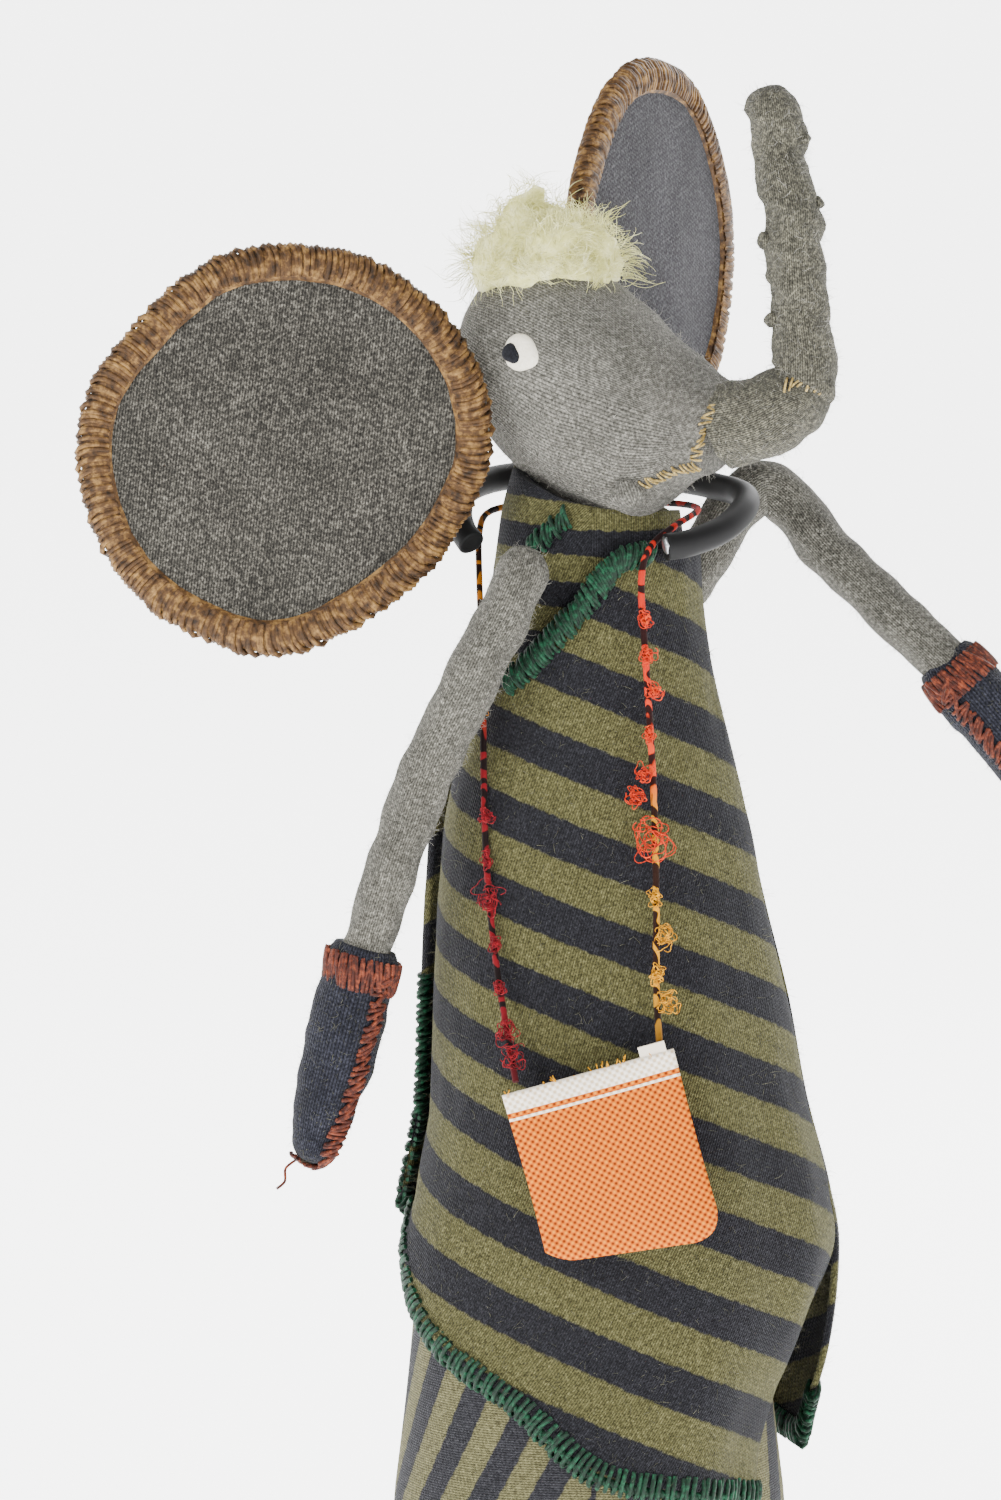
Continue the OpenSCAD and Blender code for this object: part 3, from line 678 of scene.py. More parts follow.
def cordCurve(name, route, radius, material):
    data = bpy.data.curves.new(name, "CURVE")
    data.dimensions = "3D"
    data.bevel_depth = radius * mm
    data.bevel_resolution = 2
    data.use_fill_caps = True
    line = data.splines.new("POLY")
    line.points.add(len(route) - 1)
    for point, place in zip(line.points, route):
        point.co = (*(place * mm), 1)
    data.materials.append(material)
    piece = bpy.data.objects.new(name, data)
    bpy.context.scene.collection.objects.link(piece)
    return piece


def routeLength(route):
    return sum((b - a).length for a, b in zip(route, route[1:]))


def slub(name, centre, size, material, seed, strands=13):
    # open loops of unspun wool standing off the yarn
    rnd = random.Random(seed)
    parts = []
    for s in range(strands):
        grow, turn, dip = rnd.uniform(0.4, 1.0), rnd.uniform(0, 6.28), rnd.uniform(0, 6.28)
        flat, span, start = rnd.uniform(0.35, 1.0), rnd.uniform(0.6, 1.1), rnd.uniform(0, 6.28)
        middle = Vector(centre) + Vector((rnd.gauss(0, 0.35) * size[0], 0, rnd.gauss(0, 0.45) * size[2]))
        path = []
        for i in range(25):
            t = start + 2 * math.pi * span * i / 24
            pull = grow * (1 + 0.22 * math.sin(3 * t + dip))
            x, z = size[0] * pull * math.cos(t), size[2] * pull * flat * math.sin(t)
            path.append(middle + Vector((x * math.cos(turn) - z * math.sin(turn),
                                         size[1] * (0.6 * math.sin(2 * t + dip) - 0.3),
                                         x * math.sin(turn) + z * math.cos(turn))))
        rings = tubeRings(path, [rnd.uniform(0.08, 0.15)] * 25, (0, 1, 0.1), 5)
        parts.append(loft(name + str(s), rings, material))
    return joined(name, parts)


def makeStraps():
    made = {}
    for side, yarn in (("right", redYarn), ("left", orangeYarn)):
        route = smoothRoute(straps[side], 4)
        cord = cordCurve("strap" + side.title(), route, straps["radius"], yarn)
        made[side] = (cord, route)
    # where each slub sits, its half sizes and its wool
    rows = {
        "right": [((-22.6, -10.2, 247), (0.8, 0.6, 1.4), goldSlub),
                  ((-22.4, -13, 235), (0.7, 0.6, 1.2), goldSlub),
                  ((-21.6, -17.8, 214), (1.6, 0.8, 1.2), crimsonSlub),
                  ((-21.4, -18.4, 205), (1.0, 0.8, 1.6), crimsonSlub),
                  ((-21.0, -20.2, 197), (1.7, 0.9, 3.0), crimsonSlub),
                  ((-19.8, -22, 188), (1.0, 0.8, 1.6), crimsonSlub),
                  ((-18.8, -24.6, 180), (0.9, 0.8, 1.6), crimsonSlub),
                  ((-17.4, -27.6, 171), (2.2, 1.5, 2.4), crimsonSlub),
                  ((-16.2, -30.4, 166), (2.0, 1.5, 2.6), crimsonSlub)],
        "left": [((10.6, -20.2, 254), (0.9, 0.7, 1.8), orangeSlub),
                 ((11.2, -21, 247), (1.3, 0.8, 1.4), orangeSlub),
                 ((12.4, -22.2, 240), (1.7, 0.8, 1.6), orangeSlub),
                 ((11.6, -22.8, 231), (1.1, 0.8, 1.3), orangeSlub),
                 ((10.6, -23.4, 223), (1.5, 1.0, 1.3), orangeSlub),
                 ((8.6, -23.8, 218.5), (1.9, 1.2, 1.5), orangeSlub),
                 ((12.2, -24.6, 211), (3.0, 1.8, 4.8), orangeSlub),
                 ((14.6, -26.8, 190.5), (2.0, 1.1, 2.4), yellowSlub),
                 ((15.0, -29.2, 177), (2.2, 1.1, 2.2), yellowSlub),
                 ((12.8, -25.8, 198), (0.8, 0.7, 1.8), yellowSlub),
                 ((13.0, -29.4, 183), (0.8, 0.7, 2.0), yellowSlub)]}
    for side, (cord, route) in made.items():
        slubs = [slub("slub" + side.title() + str(i), c, size, m, 31 + i)
                 for i, (c, size, m) in enumerate(rows[side])]
        tuft = joined("slubs" + side.title(), slubs)
        finishPiece(cord, "torso", "slub_yarn", "strap_" + side)
        finishPiece(tuft, "torso", "slub_yarn")
        # the length is that of the route, as there is no cut length to go by
        routeLength(route) * mm


makeStraps()
print("straps made")


def makeHead():
    shape = {"centre": (-8, 3, 308), "along": (0.784, -0.499, -0.368), "up": (0.313, -0.191, 0.926),
             "top": [(-20, 0), (-17, 10.5), (-12, 16), (-5, 19.4), (3, 19.8), (10, 18.5), (17, 16.6), (24, 14.6),
                     (30, 12.8), (36, 11.2), (40, 10.2), (44, 9.0)],
             "bottom": [(-20, 0), (-17, -10.5), (-12, -16), (-5, -20), (3, -23.5), (10, -26), (17, -27.2),
                        (24, -26.5), (30, -24.8), (36, -19.5), (40, -13), (44, -9.0)],
             "half": [(-20, 0), (-17, 10.5), (-12, 16), (-5, 19.4), (3, 20), (10, 19), (17, 17.2), (24, 15),
                      (30, 12.6), (36, 10.8), (40, 10.2), (44, 9.0)]}
    e1 = Vector(shape["along"]).normalized()
    e3 = Vector(shape["up"])
    e3 = (e3 - e3.dot(e1) * e1).normalized()
    e2 = e3.cross(e1)
    rings, n = [], 96
    for j in range(72):
        s = -20 + 64 * (1 - math.cos(math.pi * j / 71)) / 2
        top, bottom, half = (eased(s, shape[k]) for k in ("top", "bottom", "half"))
        if s < -5:  # the back of the skull is round
            half = math.sqrt(max(0.0, 400 - s * s))
            top, bottom = half, -half * (1 + 0.03 * (s + 20) / 15)
        ring = []
        for k in range(n):
            a = 2 * math.pi * k / n
            tall = top if math.sin(a) > 0 else -bottom
            p = (Vector(shape["centre"]) + e1 * s + e2 * half * math.cos(a) + e3 * tall * math.sin(a))
            d = noise.noise(p * 0.09) * 0.9 + noise.noise(p * 0.25 + Vector((9, 0, 0))) * 0.35
            ring.append(p + (p - Vector(shape["centre"]) - e1 * s).normalized() * d if tall > 1 else p)
        rings.append(ring)
    head = loft("headSkin", rings, greyKnit)
    finishPiece(head, "head", "grey_knit", "head_skin", "head_stuffing")
    return head


head = makeHead()
headFuzz = fuzz(head, 2200, 1.8, greyFibre, 21)
finishPiece(headFuzz, "head", "grey_knit")


def acrossOf(points, normals, tilt=0.0, flip=1):
    # square to a seam and flat on the cloth, tilted along the seam
    acrosses = []
    for i, n in enumerate(normals):
        t = heading(points, i)
        acrosses.append((t.cross(n) * flip + t * tilt).normalized())
    return acrosses


def seamOn(surface, name, route, spacing, material, settings):
    # a row of hand stitches lying on a surface
    line = [nearest(surface, p) for p in smoothRoute(route, 8)]
    points = [p + n * 0.1 for p, n in line]
    outwards = [n for p, n in line]
    wanted = {"Spacing": spacing, **halfTurn, "Thread": 0.24, "Wander": 0.45}
    wanted.update(settings)
    return stitchRow(name, points, outwards, acrossOf(points, outwards), material, wanted)


def makeFace():
    jaw = seamOn(head, "jawSeam", [(7, -36, 268), (14, -38, 267.5), (22, -38, 269.5), (30, -36, 274)], 1.0, beigeThread,
                 {"Reach": 1.3, "Flat": 0.35, "Lean": 0.5})
    finishPiece(jaw, "head", "beige_thread", "jaw_seam")
    # an almond with its point towards the trunk, and a pupil of two lobes set well back in it
    almond = lambda a: 3.5 + 1.1 * max(0.0, math.cos(a + 0.3)) ** 6 + 0.45 * abs(math.sin(a)) - 0.2 * math.cos(a)
    pupilShape = lambda a: 2.15 * (1 + 0.13 * math.cos(2 * a + 1.2) - 0.09 * math.sin(3 * a))
    for side, white, black, up in (("right", (-14.6, -16.2, 308.3), (-15.9, -15.6, 308.0), (0.12, 0, 1)),
                                   ("left", (11, 10.5, 311), (10.2, 12.5, 311.3), (0.12, 0, 1))):
        felt = patchOn(head, "eyeWhite" + side.title(), white, up, almond, 0.7, creamFelt)
        finishPiece(felt, "head", "cream_felt", "eye_white_" + side)
        pupil = patchOn(head, "pupil" + side.title(), black, up, pupilShape, 1.0, blackFelt, 0.6)
        finishPiece(pupil, "head", "black_felt", "pupil_" + side)


makeFace()


def makeChin():
    # the pinched tuck of knit at the tip of the lower lip
    at, _ = nearest(head, (6, -26, 272))
    path = [at + Vector((0, -0.6, 0.4)) + Vector((0.35, -0.2, -0.9)) * f
            for f in (-3.4, -3, -2, -0.6, 0.8, 2.2, 3.2, 3.6)]
    rings = tubeRings(path, [0.4, 1.6, 2.9, 3.6, 3.5, 2.7, 1.5, 0.3], (1, 0, 0), 28, 1.6, 0.4, 4)
    chin = loft("chinTuck", rings, greyKnit)
    finishPiece(chin, "head", "grey_knit")


makeChin()


def makeHair():
    # a tuft of combed wool: a soft lumpy mass with fine crimped fibres standing out of it
    look = {"fibres": 3000, "bend": 9, "thick": 0.085, "centre": (-9.5, -1.5, 326)}
    rnd = random.Random(5)
    middle = Vector(look["centre"])

    def tuftAt(a, b, swell=1.0):
        d = Vector((math.cos(b) * math.cos(a), math.cos(b) * math.sin(a), math.sin(b)))
        r = 1.0 + 0.30 * noise.noise(d * 1.7 + Vector((4, 0, 0))) + 0.12 * noise.noise(d * 5)
        high = 12.5 + 4.5 * max(0.0, 1 - abs(a - math.pi) / 2.2) * max(0.0, d.z)
        deep, tall = 10.2 if d.y > 0 else 12, high if d.z > 0 else 9
        return middle + Vector((d.x * 16.2, d.y * deep, d.z * tall)) * r * swell, d

    rings = []
    for j in range(26):
        b = -math.pi / 2 + math.pi * (j + 0.02) / 25.04
        rings.append([tuftAt(2 * math.pi * k / 56, b, 0.86)[0] for k in range(56)])
    core = loft("hairRoot", rings, woolFibre)
    points, faces = [], []
    for _ in range(look["fibres"]):
        a, b = rnd.uniform(0, 2 * math.pi), math.asin(rnd.uniform(-0.35, 1.0))
        start, out = tuftAt(a, b, rnd.uniform(0.72, 0.95))
        p, d = start, (out * 0.6 + Vector((rnd.gauss(0, 0.6), rnd.gauss(0, 0.6), rnd.gauss(0.25, 0.5)))).normalized()
        reach = rnd.uniform(3.5, 8.5) * (1.35 if rnd.random() < 0.12 else 1.0)
        if start.y > 4:  # shorter on the side by the left ear
            reach *= 0.45
        phase, crimp = rnd.uniform(0, 6.28), rnd.uniform(0.25, 0.8)
        base = len(points)
        for i in range(look["bend"]):
            t = i / (look["bend"] - 1)
            swirl = Vector((noise.noise(p * 0.16), noise.noise(p * 0.16 + Vector((7, 0, 0))),
                            noise.noise(p * 0.16 + Vector((0, 7, 0)))))
            curl = Vector((math.sin(9 * t + phase), math.cos(7 * t + phase), 0))
            d = (d + swirl * 0.75 + curl * crimp * 0.5).normalized()
            p = p + d * (reach / look["bend"])
            strandRing(points, p, d, (0.3, 0.5, 0.8), look["thick"] * (1 - 0.7 * t))
        strandFaces(faces, base, look["bend"])
    hair = meshObject("hairLocks", points, faces, woolFibre)
    whole = joined("hairTuft", [hair, core])
    finishPiece(whole, "head", "cream_wool", "hair_tuft")


makeHair()
print("head made")


def wrappedTube(name, route, radii, side, material, ridge, pitch, seed, n=40):
    # knit wound round a wire: slanting ridges and an uneven surface
    rings, run = [], 0.0
    for i, (t, s) in enumerate(sideVectors(route, side)):
        if i:
            run += (route[i] - route[i - 1]).length
        u = t.cross(s)
        ring = []
        for k in range(n):
            a = 2 * math.pi * k / n
            outward = math.cos(a) * s + math.sin(a) * u
            turn = (run / pitch + a / (2 * math.pi)) % 1.0
            lap = ridge * (1 - turn) ** 1.5 * min(1.0, turn * 9)
            p = route[i] + outward * radii[i]
            lump = noise.noise(p * 0.22 + Vector((seed, 0, 0))) * 0.7 + noise.noise(p * 0.6) * 0.25
            ring.append(p + outward * ((lap + lump) * min(1.0, radii[i] / 3)))
        rings.append(ring)
    return loft(name, rings, material)


def radiiAlong(route, rows):
    total, run, out = routeLength(route), 0.0, []
    for i, p in enumerate(route):
        if i:
            run += (p - route[i - 1]).length
        out.append(lookup(run / total, rows))
    return out


def rounded(route, radii, first=True, last=True):
    out, thin = [], []
    total, run = routeLength(route), 0.0
    for i, p in enumerate(route):
        if i:
            run += (p - route[i - 1]).length
        r = radii[i]
        if first and run < r:
            r = math.sqrt(max(0.0, r * r - (r - run) ** 2))
        if last and total - run < r:
            r = math.sqrt(max(0.0, r * r - (r - (total - run)) ** 2))
        out.append(p)
        thin.append(max(r, 0.05))
    return out, thin


trunk = {"base": (27, -19.5, 293.6), "elbow": (41.5, -27, 299.5), "mid": (40.5, -27, 326), "top": (35.5, -24, 357)}


def makeTrunk():
    lowerRoute = smoothRoute([trunk["base"], (34, -23.6, 295.4), trunk["elbow"], (46.5, -29.6, 301.5)], 14)
    path, radii = rounded(lowerRoute, radiiAlong(lowerRoute, [(0, 8.6), (0.5, 8), (0.8, 7), (1, 6.4)]), False)
    lower = wrappedTube("trunkLower", path, radii, (0, 0.3, 1), trunkKnit, 0.3, 16, 3)
    upperRoute = smoothRoute([(42, -27.2, 296.5), (42.4, -27.2, 306), (41.2, -27, 316), trunk["mid"],
                              (39.2, -26.2, 338), (37.2, -25, 348), (35.2, -23.8, 361.5)], 16)
    path, radii = rounded(upperRoute, radiiAlong(upperRoute, [(0, 6.0), (0.3, 5.4), (0.6, 5.2), (1, 4.9)]))
    upper = wrappedTube("trunkUpper", path, radii, (1, 0, 0), trunkKnit, 1.3, 17, 8)
    nubs = []
    slices = (-1, -0.8, -0.4, 0, 0.4, 0.8, 1)
    for i, (c, size) in enumerate([((33.6, -28, 330.5), 1.8), ((33.2, -29, 315), 1.6), ((45.0, -28, 338), 1.4),
                                   ((42.6, -28, 350), 1.3)]):
        c, _ = nearest(upper, c)
        path = [c + Vector((0, 0, z * size)) for z in slices]
        radii = [size * math.sqrt(max(0.02, 1 - z * z)) for z in slices]
        nubs.append(loft("nub" + str(i), tubeRings(path, radii, (1, 0, 0), 16, 0.8, 0.6, i), trunkKnit))
    upper = joined("trunkUpper", [upper] + nubs)
    hairs = fuzz(lower, 500, 1.8, greyFibre, 22)
    for piece in (lower, hairs):
        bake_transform(piece)
    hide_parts("trunk_lower_sleeve")
    hairs = fuzz(upper, 1200, 2.0, greyFibre, 23)
    for piece in (upper, hairs):
        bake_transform(piece)
    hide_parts("trunk_upper_sleeve")
    base = seamOn(head, "trunkBaseSeam", [(33, -25, 302), (29, -29.5, 300), (25, -33, 294), (24.5, -35, 286),
                                          (27, -35.5, 279)], 1.0, beigeThread, {"Reach": 1.3, "Flat": 0.3, "Lean": 0.4})
    finishPiece(base, "head", "beige_thread", "trunk_base_seam")
    elbow = seamOn(lower, "trunkElbowSeam", [(38, -33.5, 302), (41.5, -34, 302.6), (45, -34, 302), (48, -32.5, 301)],
                   1.0, beigeThread, {"Reach": 1.4, "Flat": 0.35, "Lean": -0.5})
    finishPiece(elbow, "trunk_lower", "beige_thread", "trunk_elbow_seam")


makeTrunk()
print("trunk made")


earLook = {"reach": 39.5, "edge": 2.3, "spacing": 1.0, "around": 144, "layers": 30, "rim": 260}


def earSurface(at, turn, outline, cuts):
    # returns where a point of the ear's own plane lies, and the padded surface over that plane
    cosT, sinT = math.cos(math.radians(turn)), math.sin(math.radians(turn))

    def placed(x, y, z):
        return Vector((at[0] + cosT * x - sinT * y, at[1] + sinT * x + cosT * y, at[2] + z))

    def radiusAt(a):  # an uneven circle, cut back where it meets the head
        r = earLook["reach"] * eased(math.degrees(a) % 360, outline) * (1 + 0.006 * math.sin(7 * a))
        for (cx, cz, cr) in cuts:  # the rim stays outside a circle in the same plane
            d = Vector((math.cos(a), math.sin(a)))
            c = Vector((cx, cz))
            b = d.dot(c)
            if b > 0 and c.length > cr:
                miss = c.length_squared - b * b
                if miss < cr * cr:
                    r = min(r, b - math.sqrt(cr * cr - miss))
        return r

    def surface(side, f, a, lift=0.0):
        r = radiusAt(a) * f
        x, z = r * math.cos(a), r * math.sin(a)
        cup = -1.6 * math.cos(math.pi * min(1.0, f) * 0.9) * 0.6
        p = Vector((x, 0, z))
        d = noise.noise(p * 0.055 + Vector((at[0], 0, 0))) * 1.6 * (1 - f * f * 0.7)
        d += noise.noise(p * 0.2 + Vector((0, at[0], 0))) * 0.3
        thick = 0.25 + 1.1 * math.sqrt(max(0.0, 1 - f ** 6))
        return placed(x, (cup + d) * 0.6 + side * (thick + lift), z), (x, z)

    return placed, surface


def earPanel(name, side, surface, tilt, knit):
    # one knitted face of the ear, an outer and an inner wall closed at the rim and at the middle
    n, layers, lean = earLook["around"], earLook["layers"], math.radians(tilt)
    points, uvs, faces = [], [], []
    for inner in (False, True):
        for j in range(layers + 1):
            for k in range(n):
                inset = -1.0 * (1 - (j / layers) ** 6) if inner else 0.0
                p, (x, z) = surface(side, j / layers if j else 0.002, 2 * math.pi * k / n, inset)
                points.append(p)
                uvs.append((x, z) if inner else (x * math.cos(lean) - z * math.sin(lean),
                                                 x * math.sin(lean) + z * math.cos(lean)))
    m = (layers + 1) * n
    for j in range(layers):
        for k in range(n):
            a, b = j * n + k, j * n + (k + 1) % n
            faces.append((a, b, b + n, a + n))
            faces.append((m + a, m + a + n, m + b + n, m + b))
    for first in (0, m):
        points.append(sum(points[first:first + n], Vector()) / n)
        uvs.append((0, 0))
    for k in range(n):
        faces.append((k, 2 * m, (k + 1) % n))
        faces.append((m + (k + 1) % n, 2 * m + 1, m + k))
    rim = layers * n
    for k in range(n):
        a, b = rim + k, rim + (k + 1) % n
        faces.append((a, b, m + b, m + a))
    panel = meshObject(name, points, faces, knit, uvs)
    tidyMesh(panel)
    return panel


def earEdging(name, placed, surface):
    # the padded rim under its satin stitches, and the wire hoop inside it
    count, edge = earLook["rim"], earLook["edge"]
    rimLine = []
    for k in range(count):
        a = 2 * math.pi * k / count
        (p, _), (q, _) = surface(-1, 1.0, a), surface(1, 1.0, a)
        rimLine.append((p + q) / 2)
    normal = placed(0, 1, 0) - placed(0, 0, 0)
    outward = [(rimLine[(k + 1) % count] - rimLine[k - 1]).normalized().cross(normal).normalized()
               for k in range(count)]
    middle = sum(rimLine, Vector()) / count
    if outward[0].dot(rimLine[0] - middle) < 0:
        outward = [-o for o in outward]
    points = []
    for p, o in zip(rimLine, outward):
        for i in range(16):
            b = 2 * math.pi * i / 16
            points.append(p + o * (3.5 * math.cos(b) - 1.6) + normal * edge * math.sin(b))
    faces = [(k * 16 + i, k * 16 + (i + 1) % 16, ((k + 1) % count) * 16 + (i + 1) % 16, ((k + 1) % count) * 16 + i)
             for k in range(count) for i in range(16)]
    core = meshObject(name + "Core", points, faces, goldThread)
    tidyMesh(core)
    satin = stitchRow(name + "Satin", [p - o * 1.4 for p, o in zip(rimLine, outward)], outward, [normal] * count,
                      goldThread, {"Spacing": earLook["spacing"], "Reach": edge + 0.25, "Flat": 1.5, "Start": -2.25,
                                   "Sweep": 4.5, "Thread": 0.58, "Wander": 0.28, "Lean": 0.5}, closed=True)
    hoop = [p - o * 1.2 for p, o in zip(rimLine, outward)]
    return joined(name + "Edging", [core, satin]), cordCurve(name + "Wire", hoop + hoop[:1], 0.7, steelWire)


def makeEar(name, at, turn, outline, cuts, tilt, knitFront, knitBack, body):
    placed, surface = earSurface(at, turn, outline, cuts)
    front = earPanel(name + "Front", -1, surface, tilt, knitFront)
    back = earPanel(name + "Back", 1, surface, tilt, knitBack)
    edging, wire = earEdging(name, placed, surface)
    for piece, cad, slot in ((front, "_front", "ear_knit"), (back, "_back", "ear_knit"),
                             (edging, "_edging", "golden_thread"), (wire, "_wire", "wire")):
        finishPiece(piece, body, slot, body + cad)


makeEar("earRight", (-62.5, -17.5, 288.5), 0,
        [(0, 1.0), (35, 1.02), (65, 1.0), (100, 0.985), (135, 0.935), (165, 0.98), (185, 1.0), (215, 1.0), (240, 1.0),
         (265, 0.99), (290, 0.92), (315, 0.89), (338, 0.93), (360, 1.0)], [], 8, earKnit, earKnitBack, "ear_right")
makeEar("earLeft", (15, 47, 330), 64,
        [(0, 1.0), (60, 1.01), (90, 1.0), (140, 0.99), (180, 1.0), (270, 0.98), (330, 0.99), (360, 1.0)],
        [(-46.0, -16.0, 21.0)], -20, earKnitBack, earKnit, "ear_left")
print("ears made")


def makeArm(side, points, radiusRows, seed):
    # a stuffed knitted sleeve, thin and a little lumpy
    route = smoothRoute(points, 16)
    path, radii = rounded(route, radiiAlong(route, radiusRows), True, False)
    return loft("armSleeve" + side.title(), tubeRings(path, radii, (0.2, 1, 0.1), 40, 0.9, 0.16, seed), armKnit)


arms = {
    "right": {"line": [(-13, -20, 269), (-15.5, -22, 261), (-22.5, -22.2, 246.5), (-32.5, -21, 226),
                       (-39.8, -20.4, 206), (-46.3, -20, 186), (-48, -20, 179.5)],
              "bend": ((-28.5, -21.6, 234), (-35.5, -20.8, 218)), "wrist": (-46.3, -20, 186), "tip": (-56.6, -20, 147),
              "seed": 2, "seam": math.pi - 0.75},
    "left": {"line": [(14, 8.5, 252), (22, 15.5, 262), (30, 21.5, 274.5), (37, 25, 280), (43.5, 24.4, 276.5),
                      (49.6, 21.8, 268.4), (62, 18.6, 256), (76, 15, 243), (79.5, 14.2, 239)],
             "bend": ((45, 23.8, 275), (54, 20.8, 264)), "wrist": (76, 15, 243), "tip": (102, 10, 213),
             "seed": 11, "seam": 0.9}}
armRadii = [(0, 5.2), (0.3, 5.7), (0.6, 5.5), (1, 5.2)]  # along the arm, shoulder to wrist


def makeMitten(side, wrist, tip, seamTurn):
    wrist, tip = Vector(wrist), Vector(tip)
    along = (tip - wrist).normalized()
    reach = (tip - wrist).length
    face = Vector((0, -1, 0))
    face = (face - face.dot(along) * along).normalized()
    wide = along.cross(face)
    rows = [(-0.03, 6.0), (0.0, 6.9), (0.15, 7.3), (0.35, 7.5), (0.6, 7.2), (0.8, 6.3), (0.95, 5.2), (1.0, 4.8)]
    rings = []
    total = reach + 4.6
    for j in range(44):
        d = -1.5 + (total + 1.5) * j / 43
        r = eased(d / reach, rows)
        left = total - d
        if left < 5.5:
            r *= math.sqrt(max(0.0004, 1 - ((5.5 - left) / 5.5) ** 2))
        ring = []
        for k in range(40):
            a = 2 * math.pi * k / 40
            p = wrist + along * d + wide * (r * 1.02 * math.cos(a)) + face * (r * 0.86 * math.sin(a))
            p += (wide * math.cos(a) + face * math.sin(a)) * (noise.noise(p * 0.14 + Vector((seamTurn, 0, 0))) * 0.8
                                                           + noise.noise(p * 0.45) * 0.22)
            ring.append(p)
        rings.append(ring)
    mitten = loft("mitten" + side.title(), rings, mittenKnit)

    def around(d, a):
        r = eased(d / reach, rows)
        return nearest(mitten, wrist + along * d + wide * r * math.cos(a) + face * r * math.sin(a))

    parts = []
    # a band of long stitches round the cuff
    loop = [around(3.6, 2 * math.pi * k / 60) for k in range(60)]
    parts.append(stitchRow("cuffBand", [p + n * 0.05 for p, n in loop], [n for p, n in loop], [along] * 60, brownThread,
                           {"Spacing": 0.62, "Reach": 3.3, "Flat": 0.12, **halfTurn,
                            "Thread": 0.42, "Wander": 0.22, "Lean": 0.12}, closed=True))
    # whip stitches down the seam, round the tip
    seam = [around(4 + (reach - 2) * k / 30, seamTurn) for k in range(31)]
    end = wrist + along * (total - 0.3)
    bottom = [nearest(mitten, end + wide * x + along * 0.5) for x in (4.0, 2.0, 0.0, -2.0, -4.0)]
    if seamTurn > 1.6:
        bottom.reverse()
    seam += bottom
    ps, normals = [p + n * 0.05 for p, n in seam], [n for p, n in seam]
    parts.append(stitchRow("whipSeam", ps, normals, acrossOf(ps, normals, 0.5), brownThread,
                           {"Spacing": 0.95, "Reach": 2.1, "Flat": 0.26, **halfTurn,
                            "Thread": 0.46, "Wander": 0.55, "Lean": 0.0}))
    # the loose end of the thread
    tail = [end + wide * 3 + face * 2, end + wide * 4.5 + face * 3 + along * 2,
            end + wide * 4 + face * 3.4 + along * 4.5, end + wide * 5.2 + face * 3 + along * 6.5]
    route = smoothRoute(tail, 6)
    parts.append(loft("threadTail", tubeRings(route, [0.3] * len(route), (1, 0, 0), 6), brownThread))
    trim = joined("mittenTrim" + side.title(), parts)
    hairs = fuzz(mitten, 900, 1.7, darkFibre, 26)
    finishPiece(hairs, "arm_" + side + "_lower", "mitten_knit")
    for piece, cad, slot in ((mitten, "mitten_" + side, "mitten_knit"),
                             (trim, "mitten_" + side + "_trim", "brown_thread")):
        finishPiece(piece, "arm_" + side + "_lower", slot, cad)


for side, settings in arms.items():
    node = "arm_" + side
    sleeve = makeArm(side, settings["line"], armRadii, settings["seed"])
    first, second = settings["bend"]
    hairs = fuzz(sleeve, 1300, 1.8, greyFibre, 24)
    for piece in (sleeve, hairs):
        tuple(Vector(first) * mm)
        tuple(Vector(second) * mm)
        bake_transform(piece)
    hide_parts(node + "_upper", node + "_lower", "shoulder_" + side + "_wad")
    makeMitten(side, settings["wrist"], settings["tip"], settings["seam"])
print("arms made")


# half widths and depths of the body by height, then of the toga laid over it
bodyW = [(0, 47), (70, 41), (111, 36.5), (130, 34), (153, 30.8), (195, 29.5), (215, 27.5), (247, 21.4), (264, 20),
         (276, 18.5), (286, 15.5), (300, 12)]
bodyD = [(0, 33), (70, 29), (111, 27), (153, 24), (195, 20), (215, 18), (247, 15), (264, 13.6), (276, 13.0),
         (300, 11)]
togaLeft = [(60, -47), (90, -42.5), (111, -40), (122, -39.5), (132, -36.6), (150, -33.2), (195, -31.8), (215, -30.2),
            (247, -24), (270, -22.6)]
togaRight = [(60, 47), (80, 46), (100, 51), (120, 52.7), (132, 51), (153, 46), (174, 42), (195, 36.5), (215, 32),
             (247, 25), (270, 23)]
togaD = [(60, 34), (111, 30.5), (132, 29), (153, 27), (195, 23), (215, 20.8), (247, 17.6), (270, 16)]
# heights of each layer's lower and upper edge, by angle round the body
frontHem = [(170, 130), (186, 124), (200, 113), (220, 103), (245, 94), (270, 81), (300, 76), (330, 72), (352, 71)]
frontTop = [(170, 228), (200, 233), (235, 244), (262, 256), (285, 267), (352, 268)]
backHem = [(356, 92), (370, 80), (400, 84), (450, 100), (500, 120), (528, 130)]
backTop = [(356, 268), (430, 267), (470, 255), (528, 228)]


def bodyAt(z, degrees, out):
    a = math.radians(degrees)
    return Vector(((eased(z, bodyW) + out) * math.cos(a), (eased(z, bodyD) + out) * math.sin(a), z))


def togaAt(z, degrees, out):
    a = math.radians(degrees)
    left, right = eased(z, togaLeft), eased(z, togaRight)
    return Vector(((left + right) / 2 + ((right - left) / 2 + out) * math.cos(a),
                   (eased(z, togaD) + out) * math.sin(a), z))


def tubeCloth(name, surface, z0, z1, thick, material, uvOf, topOf=None, rows=110, cols=150):
    # a closed sleeve of cloth: outer and inner wall with turned edges
    points, uvs = [], []
    for wall in (0, 1):
        for j in range(rows + 1):
            run, last = 0.0, None
            for k in range(cols + 1):
                degrees = -90 + 360 * k / cols
                z = z0 + ((topOf(degrees) if topOf else z1) - z0) * j / rows
                p = surface(z, degrees, -thick * wall)
                if last is not None:
                    run += (p - last).length
                last = p
                points.append(p)
                uvs.append(uvOf(p, run, z))
    piece = meshObject(name, points, wallFaces(rows, cols), material, uvs)
    tidyMesh(piece)
    return piece


